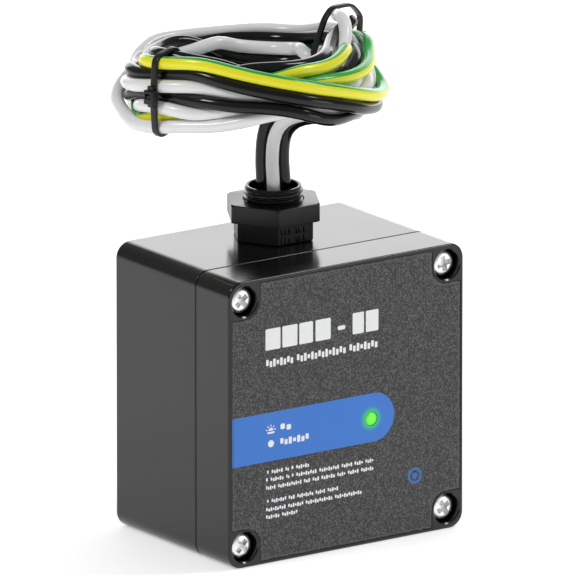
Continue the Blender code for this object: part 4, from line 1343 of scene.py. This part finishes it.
BOARD_PARTS = (
    "varistor_line_1",
    "varistor_line_2",
    "varistor_ground",
    "thermal_fuse_line_1",
    "thermal_fuse_line_2",
    "status_lamp",
    "lamp_resistor",
    "lamp_diode",
    "film_capacitor",
    "terminal_black_1",
    "terminal_white",
    "terminal_black_2",
    "terminal_green_yellow",
)
BOARD_RUNS = (
    ("terminal_black_1", "varistor_line_1", 4.0 * MM),
    ("varistor_line_1", "thermal_fuse_line_1", 4.0 * MM),
    ("varistor_line_2", "thermal_fuse_line_2", 4.0 * MM),
    ("terminal_white", "film_capacitor", 3.0 * MM),
    ("terminal_green_yellow", "varistor_ground", 4.0 * MM),
    ("terminal_black_2", "varistor_ground", 4.0 * MM),
    ("film_capacitor", "lamp_resistor", 1.2 * MM),
    ("lamp_resistor", "lamp_diode", 1.2 * MM),
    ("lamp_diode", "status_lamp", 1.2 * MM),
    ("thermal_fuse_line_2", "lamp_resistor", 1.2 * MM),
)


def show_legs(node, middle, half, bends, radius, finish):
    """Two round legs that leave a body's ends along Z and bend back to the board.

    bends are the distances that a leg starts inside the end, runs straight past it and drops towards
    the board by its first bend.
    """
    inside, straight, drop = bends
    legs = []
    for sign in (-1, 1):
        z = middle.z + sign * half
        foot = z + sign * 1.6 * MM
        points = [
            (middle.x, middle.y, z - sign * inside),
            (middle.x, middle.y, z + sign * straight),
            (middle.x, middle.y + drop, foot),
            (middle.x, BOARD_FRONT, foot),
        ]
        line = [Vector(point) for point in points]
        legs.append(tube("leg", line, radius, 12, side=Vector((0.3, 0.2, 0.9))))
    show(f"{node}_legs", joined("legs", legs), "enclosure", finish, weighted=False)


def build_varistors(finish, tin):
    stand, rim = 3.0 * MM, 0.14 * MM
    turn = Matrix(((0, 0, 1), (1, 0, 0), (0, 1, 0))).to_4x4()
    for name in ("line_1", "line_2", "ground"):
        middle, size = centre_and_size(f"varistor_{name}")
        depth, half = size.y - stand, size.x / 2
        outline = rounded_rectangle(depth, size.z, 6.0 * MM, 14)
        body = plate("varistor", outline, -half, half, 2.6 * MM, 2.6 * MM, 6)
        outline = rounded_rectangle(depth - 9 * MM, size.z - 9 * MM, 5.0 * MM, 14)
        ridge = plate("ridge", outline, -half - 0.15 * MM, half + 0.15 * MM, rim, rim, 2)
        place = (middle.x, middle.y - stand / 2, middle.z)
        body = moved(joined("varistor", [body, ridge]), place, turn)
        show(f"varistor_{name}_body", body, "enclosure", finish, f"varistor_{name}", 40)
        legs = []
        for offset in (-10 * MM, 10 * MM):
            x, z = middle.x, middle.z + offset
            tab = (0.8 * MM, stand + 2.5 * MM, 4.2 * MM)
            legs.append(block("tab", tab, (x, BOARD_FRONT - stand / 2 - 1.0 * MM, z), 0.12 * MM, 2))
            collar = (3.2 * MM, 1.8 * MM, 6.4 * MM)
            legs.append(block("collar", collar, (x, BOARD_FRONT - stand - 0.4 * MM, z), 0.7 * MM))
        show(f"varistor_{name}_tabs", joined("tabs", legs), "enclosure", tin)


def build_small_parts(fuse, resistor, diode, capacitor, tin, bands, lamp):
    for node in ("thermal_fuse_line_1", "thermal_fuse_line_2"):
        middle, size = centre_and_size(node)
        place = (middle.x, middle.y - 0.3 * MM, middle.z)
        body = block("fuse", (size.x, size.y - 0.6 * MM, size.z), place, 1.3 * MM, 5)
        show(f"{node}_body", body, "enclosure", fuse, node, 40)
        show_legs(node, middle, size.z / 2, (0.5 * MM, 1.2 * MM, 0.6 * MM), 0.45 * MM, tin)
    for node, finish, slot, rings, waist in (
        ("lamp_resistor", resistor, "resistor_body", (-0.30, -0.12, 0.06, 0.32), 0.90),
        ("lamp_diode", diode, "diode_body", (0.30,), 1.0),
    ):
        middle, size = centre_and_size(node)
        radius, half = size.x / 2, size.z / 2
        neck = radius * waist
        profile = [
            (0, half),
            (radius * 0.55, half),
            (radius * 0.9, half - radius * 0.15),
            (radius, half - radius * 0.55),
            (radius, half - radius * 0.9),
            (neck, half - radius * 1.15),
        ]
        profile += [(r, -z) for r, z in profile[::-1]]
        body = moved(turned_mesh("body", profile, 40), middle)
        show(f"{node}_shell", body, "enclosure", finish, node, 40)
        marks = []
        inner, outer, wide = neck - 0.05 * MM, neck + 0.03 * MM, 0.35 * MM
        for share in rings:
            mark = turned_mesh("band", [(inner, wide), (outer, wide), (outer, -wide), (inner, -wide)], 40)
            marks.append(moved(mark, (middle.x, middle.y, middle.z + share * size.z)))
        show(f"{node}_bands", joined("bands", marks), "enclosure", bands)
        show_legs(node, middle, half, (0.4 * MM, 1.3 * MM, 0.4 * MM), 0.3 * MM, tin)
    build_capacitor(capacitor)
    low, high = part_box("status_lamp")
    radius, flange, foot = 2.5 * MM, 2.9 * MM, low.y - high.y
    step = foot + 1.2 * MM
    profile = [*dome(radius, radius, 12), (radius, step), (flange, step), (flange, foot), (0, foot)]
    body = moved(turned_mesh("lamp", profile, 48), (LAMP.x, low.y, LAMP.z), FACING_FRONT)
    show("status_lamp_lens", body, "enclosure", lamp, "status_lamp", 40)


def build_capacitor(finish):
    middle, size = centre_and_size("film_capacitor")
    x, y, z = middle
    meshes = [
        block("capacitor", (size.x, size.y - 0.8 * MM, size.z), (x, y - 0.4 * MM, z), 0.5 * MM),
        block(
            "lip",
            (size.x - 2.4 * MM, 0.3 * MM, size.z - 2.4 * MM),
            (x, y - size.y / 2 - 0.05 * MM, z),
            0.12 * MM,
            2,
        ),
    ]
    for sign in (-1, 1):
        place = (x + sign * (size.x / 2 - 1.2 * MM), BOARD_FRONT - 0.55 * MM, z)
        meshes.append(block("foot", (1.2 * MM, 0.9 * MM, size.z * 0.8), place, 0.15 * MM, 2))
    case = joined("capacitor", meshes)
    show("film_capacitor_case", case, "enclosure", finish, "film_capacitor", 35)


TERMINAL_Y = 9.5 * MM
SEAL_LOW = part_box("lead_seal")[0].z


def build_terminals(tin, steel):
    for name in LEAD_COLOURS:
        low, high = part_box(f"terminal_{name}")
        middle, size = centre_and_size(f"terminal_{name}")
        body = block("terminal", size, middle, 0.7 * MM)
        socket = plate("socket", circle(3.0 * MM, 40), high.z - 5 * MM, high.z + REACH)
        screw_hole = rod("hole", 2.3 * MM, low.y - REACH, low.y + 0.6 * MM, middle.x, middle.z - 0.6 * MM, 40)
        body = cut(body, [moved(socket, (middle.x, TERMINAL_Y, 0)), screw_hole])
        show(f"terminal_{name}_body", body, "enclosure", tin, f"terminal_{name}", 30)
        screw = cross_head("clamp", 2.1 * MM, 1.2 * MM, 1.2 * MM, 2.2 * MM, 2.6 * MM, 0.5 * MM, 32)
        moved(screw, (middle.x, low.y + 0.5 * MM, middle.z - 0.6 * MM), FACING_FRONT)
        show(f"terminal_{name}_clamp_screw", screw, "enclosure", steel, angle=32)


def seal_place(name):
    across, inward = RISER_SIDES[name]
    return NIPPLE + (ACROSS * across + INWARD * inward) * (RISER_OFFSET * MM)


def build_inner_leads(finishes):
    for name in LEAD_COLOURS:
        start = seal_place(name)
        x, top = centre_and_size(f"terminal_{name}")[0].x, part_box(f"terminal_{name}")[1].z
        points = [
            (start.x, start.y, SEAL_LOW - 0.3 * MM),
            (start.x, start.y, NIPPLE_LOW.z),
            (start.x, start.y, NIPPLE_LOW.z - 1.0 * MM),
            (x, TERMINAL_Y, top + 4.0 * MM),
            (x, TERMINAL_Y, top),
            (x, TERMINAL_Y, top - 4.5 * MM),
        ]
        line = [Vector(point) for point in even(points, 1.5 * MM)]
        mesh = tube("inner_lead", line, LEAD_RADIUS, TUBE_STEPS, STRIPES.get(name))
        node = f"inner_lead_{name}"
        show(f"{node}_run", mesh, "enclosure", finishes[name], node, 50, False)


def build_seals(rubber):
    low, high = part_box("cover_gasket")
    # squeezed up against the cover, so that no light comes through the seam
    gasket = rim_ring(1.05 * MM, 1.2 * MM, low.y - 0.29 * MM, high.y)
    gasket.name = "gasket"
    show("cover_gasket_ring", gasket, "enclosure", rubber, "cover_gasket", 30)
    for node in ("locknut_seal", "nipple_o_ring"):
        low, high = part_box(node)
        outer = (high.x - low.x) / 2
        half = 0.8 * MM if node == "locknut_seal" else 0.5 * MM
        tall = (high.z - low.z) / 2
        ring = turned_mesh("ring", round_section(outer - half, half, tall))
        moved(ring, (NIPPLE.x, NIPPLE.y, (low.z + high.z) / 2))
        body = "locknut_ring" if node == "locknut_seal" else "enclosure"
        show(f"{node}_body", ring, body, rubber, node, 60)
    low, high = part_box("lead_seal")
    radius = (high.x - low.x) / 2
    profile = [
        (0, high.z),
        (radius - 1.0 * MM, high.z),
        (radius - 0.3 * MM, high.z - 0.2 * MM),
        (radius, high.z - 0.8 * MM),
        (radius, low.z),
        (0, low.z),
    ]
    seal = moved(turned_mesh("seal", profile, 72), NIPPLE)
    holes = []
    for name in LEAD_COLOURS:
        hole = plate("hole", circle(2.6 * MM, 32), low.z - REACH, high.z + REACH)
        holes.append(moved(hole, seal_place(name)))
    seal = cut(seal, holes)
    show("lead_seal_body", seal, "enclosure", rubber, "lead_seal", 35)


# Camera, light and floor


def aim(obj, target):
    obj.rotation_mode = "QUATERNION"
    obj.rotation_quaternion = (target - obj.location).to_track_quat("-Z", "Y")


def build_camera():
    camera = bpy.data.cameras.new("view")
    camera.lens = LENS
    camera.sensor_width = SENSOR
    camera.clip_end = 20.0
    obj = bpy.data.objects.new("view", camera)
    bpy.context.scene.collection.objects.link(obj)
    target = Vector((0, 0, VIEW_MIDDLE_Z)) + ACROSS * VIEW_SHIFT
    back = -INWARD * math.cos(VIEW_TILT) + Vector((0, 0, math.sin(VIEW_TILT)))
    obj.location = target + back * (VIEW_WIDTH * LENS / SENSOR)
    aim(obj, target)
    bpy.context.scene.camera = obj


def area_light(name, location, target, width, height, radiance):
    """A soft rectangular light of a given brightness, which the camera doesn't see."""
    light = bpy.data.lights.new(name, "AREA")
    light.shape = "RECTANGLE"
    light.size = width
    light.size_y = height
    light.energy = radiance * math.pi * width * height
    obj = bpy.data.objects.new(name, light)
    obj.location = location
    bpy.context.scene.collection.objects.link(obj)
    aim(obj, target)
    obj.visible_camera = False


def build_world(brightness):
    world = bpy.data.worlds.new("studio")
    world.use_nodes = True
    sky = world.node_tree.nodes["Background"]
    sky.inputs["Color"].default_value = (1, 1, 1, 1)
    sky.inputs["Strength"].default_value = brightness
    bpy.context.scene.world = world


FLOOR_GLOW = 0.45
FLOOR_HALF = 6.0
SKY = 0.26


def build_floor():
    mesh = bpy.data.meshes.new("floor")
    half = FLOOR_HALF
    corners = [(-half, -half, 0), (half, -half, 0), (half, half, 0), (-half, half, 0)]
    mesh.from_pydata(corners, [], [(0, 1, 2, 3)])
    floor = bpy.data.objects.new("floor", mesh)
    bpy.context.scene.collection.objects.link(floor)
    paint = Finish("floor_paint", (0.93, 0.93, 0.93), Roughness=0.8)
    paint.shader.inputs["Emission Color"].default_value = (1, 1, 1, 1)
    paint.shader.inputs["Emission Strength"].default_value = FLOOR_GLOW
    mesh.materials.append(paint.material)


def build_studio():
    build_camera()
    build_world(SKY)
    build_floor()
    middle = Vector((0, 0, 0.09))
    upward = Vector((0, 0, 1))
    # name, place from the middle, width, height and radiance
    for name, place, width, height, radiance in (
        ("back_glow", INWARD * 1.3 + upward * 0.36, 2.0, 0.75, 2.3),
        ("key", upward * 0.9 - ACROSS * 0.7 - INWARD * 0.5, 0.26, 0.26, 22.0),
        ("rim", Vector((0.56, -0.26, 0.80)) * 1.3, 0.24, 0.45, 14.0),
        ("front", Vector((0.56, -0.79, 0.10)) * 1.2, 0.5, 0.35, 2.2),
    ):
        area_light(name, middle + place, middle, width, height, radiance)
    bpy.context.scene.view_settings.view_transform = "Standard"


# Finishes

COPPER = plain("copper", (0.72, 0.36, 0.20), 0.28, 1.0, 0.02 * MM, 4000)
BLACK_WIRE = plain("black_insulation", (0.004, 0.004, 0.0045), 0.12, 0.0, 0.03 * MM, 500)
WHITE_WIRE = plain("white_insulation", (0.88, 0.88, 0.89), 0.22, 0.0, 0.03 * MM, 500, 0.03)
GREEN_WIRE = plain("green_insulation", (0.03, 0.42, 0.07), 0.2, 0.0, 0.03 * MM, 500)
YELLOW_WIRE = plain("yellow_insulation", (0.90, 0.86, 0.02), 0.22, 0.0, 0.03 * MM, 500, 0.05)
WIRE_FINISHES = {
    "black_1": BLACK_WIRE,
    "black_2": BLACK_WIRE,
    "white": WHITE_WIRE,
    "green_yellow": [GREEN_WIRE, YELLOW_WIRE],
}
CASE_PLASTIC = plain("case_plastic", (0.004, 0.004, 0.0045), 0.16, 0.0, 0.004 * MM, 1500)
NYLON = plain("black_nylon", (0.007, 0.007, 0.007), 0.28, 0.0, 0.01 * MM, 1200)
TIE_NYLON = plain("tie_nylon", (0.008, 0.008, 0.008), 0.33, 0.0, 0.01 * MM, 1500)
for black in (BLACK_WIRE, NYLON, TIE_NYLON):
    black.shader.inputs["Specular IOR Level"].default_value = 0.36
RUBBER = plain("black_rubber", (0.015, 0.015, 0.016), 0.62, 0.0, 0.02 * MM, 1800)
STEEL = plain("screw_steel", (0.93, 0.93, 0.92), 0.3, 1.0, 0.006 * MM, 2500, 0.05)
BRASS = plain("brass", (0.80, 0.58, 0.26), 0.3, 1.0, 0.01 * MM, 2500)
TIN = plain("tinned_brass", (0.74, 0.74, 0.72), 0.32, 1.0, 0.01 * MM, 2500)
LAMINATE = plain("board_laminate", (0.015, 0.13, 0.05), 0.35, 0.0, 0.01 * MM, 1200)
VARISTOR = plain("varistor_epoxy", (0.03, 0.10, 0.36), 0.42, 0.0, 0.12 * MM, 700)
FUSE = plain("fuse_epoxy", (0.74, 0.70, 0.58), 0.5, 0.0, 0.03 * MM, 1200)
RESISTOR = plain("resistor_lacquer", (0.35, 0.52, 0.62), 0.4, 0.0, 0.03 * MM, 1200)
DIODE = plain("diode_body", (0.012, 0.012, 0.012), 0.42, 0.0, 0.03 * MM, 1200)
CAPACITOR = plain("capacitor_case", (0.62, 0.42, 0.03), 0.38, 0.0, 0.02 * MM, 900)
TRACE = plain("trace", (0.03, 0.24, 0.09), 0.3, 0.0, 0.01 * MM, 1200)
BAND_PAINT = plain("band_paint", (0.62, 0.60, 0.56), 0.4, 0.0, 0.01 * MM, 1500)
LAMP_LENS = plain("lamp_lens", (0.10, 0.52, 0.14), 0.12, 0.0, 0.01 * MM, 900)
PALE_INK = plain("pale_ink", (0.95, 0.96, 0.97), 0.55, 0.0, 0.005 * MM, 3000, 0.03)
EDGE_INK = plain("edge_ink", (0.10, 0.10, 0.105), 0.5, 0.0, 0.005 * MM, 2000)
MARK_INK = plain("mark_ink", (0.035, 0.17, 0.50), 0.5, 0.0, 0.005 * MM, 2000)


def label_finish():
    """Dark film with a fine leathery grain and pale specks."""
    finish = Finish("label_film", Roughness=0.5)
    fine = finish.noise(2000.0, 2.0, 0.6)
    coarse = finish.noise(600.0, 3.0, 0.6)
    specks = finish.span(fine, 0.46, 0.64)
    base = finish.mix(finish.span(coarse, 0.35, 0.65), (0.010, 0.010, 0.0105), (0.024, 0.024, 0.025))
    finish.colour(finish.mix(specks, base, (0.125, 0.125, 0.13)))
    finish.rough(finish.span(coarse, 0.3, 0.7, 0.42, 0.6))
    finish.bump(fine, 0.06 * MM)
    return finish


def from_lamp(finish):
    """How far a point is from the lamp's middle, across the front."""
    kind = "ShaderNodeVectorMath"
    middle = finish.node(kind, {0: finish.place, 1: (LAMP.x, FRONT, LAMP.z)}, operation="SUBTRACT")
    flat = finish.node(kind, {0: middle.outputs[0], 1: (1, 0, 1)}, operation="MULTIPLY")
    return finish.node(kind, {0: flat.outputs[0]}, operation="LENGTH").outputs["Value"]


def lit_finish():
    """Clear acrylic lit from behind: bright green in the middle."""
    finish = Finish("lit_acrylic", (0.10, 0.75, 0.06), Roughness=0.12)
    reach = from_lamp(finish)
    glow = finish.span(reach, 0.0, 2.6 * MM, 1.0, 0.0)
    colour = finish.mix(glow, (0.02, 0.42, 0.03), (0.22, 1.0, 0.03))
    finish.glow(colour, finish.span(glow, 0.0, 0.8, 0.16, 0.85))
    finish.bump(finish.noise(900.0), 0.02 * MM)
    return finish


def glow_finish():
    """The band's ink round the lamp, lit green by it."""
    finish = Finish("lit_ink", (0.05, 0.30, 0.55), Roughness=0.45)
    reach = from_lamp(finish)
    share = finish.span(reach, 2.2 * MM, 5.4 * MM, 1.0, 0.0)
    soft = finish.node("ShaderNodeMath", {0: share, 1: 1.7}, operation="POWER").outputs[0]
    finish.colour(finish.mix(soft, (0.035, 0.200, 0.700), (0.03, 0.62, 0.10)))
    finish.glow(finish.mix(soft, (0.0, 0.0, 0.0), (0.05, 0.9, 0.03)), finish.span(soft, 0.0, 1.0, 0.0, 0.35))
    finish.rough(finish.span(finish.noise(35.0, 4.0), 0.3, 0.7, 0.40, 0.5))
    return finish


def main():
    routes = lead_routes()
    tie_pieces = build_ties(routes, TIE_NYLON)
    build_leads(routes, WIRE_FINISHES, COPPER)
    build_fitting(NYLON)
    build_case(CASE_PLASTIC)
    build_cover(CASE_PLASTIC)
    build_label(label_finish())
    build_print(PALE_INK, glow_finish(), EDGE_INK, MARK_INK)
    build_screws(STEEL, BRASS, RUBBER)
    build_lamp(lit_finish())
    build_board(LAMINATE, TRACE, TIN, PALE_INK, STEEL)
    build_varistors(VARISTOR, TIN)
    build_small_parts(FUSE, RESISTOR, DIODE, CAPACITOR, TIN, BAND_PAINT, LAMP_LENS)
    build_terminals(TIN, STEEL)
    build_inner_leads(WIRE_FINISHES)
    build_seals(RUBBER)
    build_studio()


main()
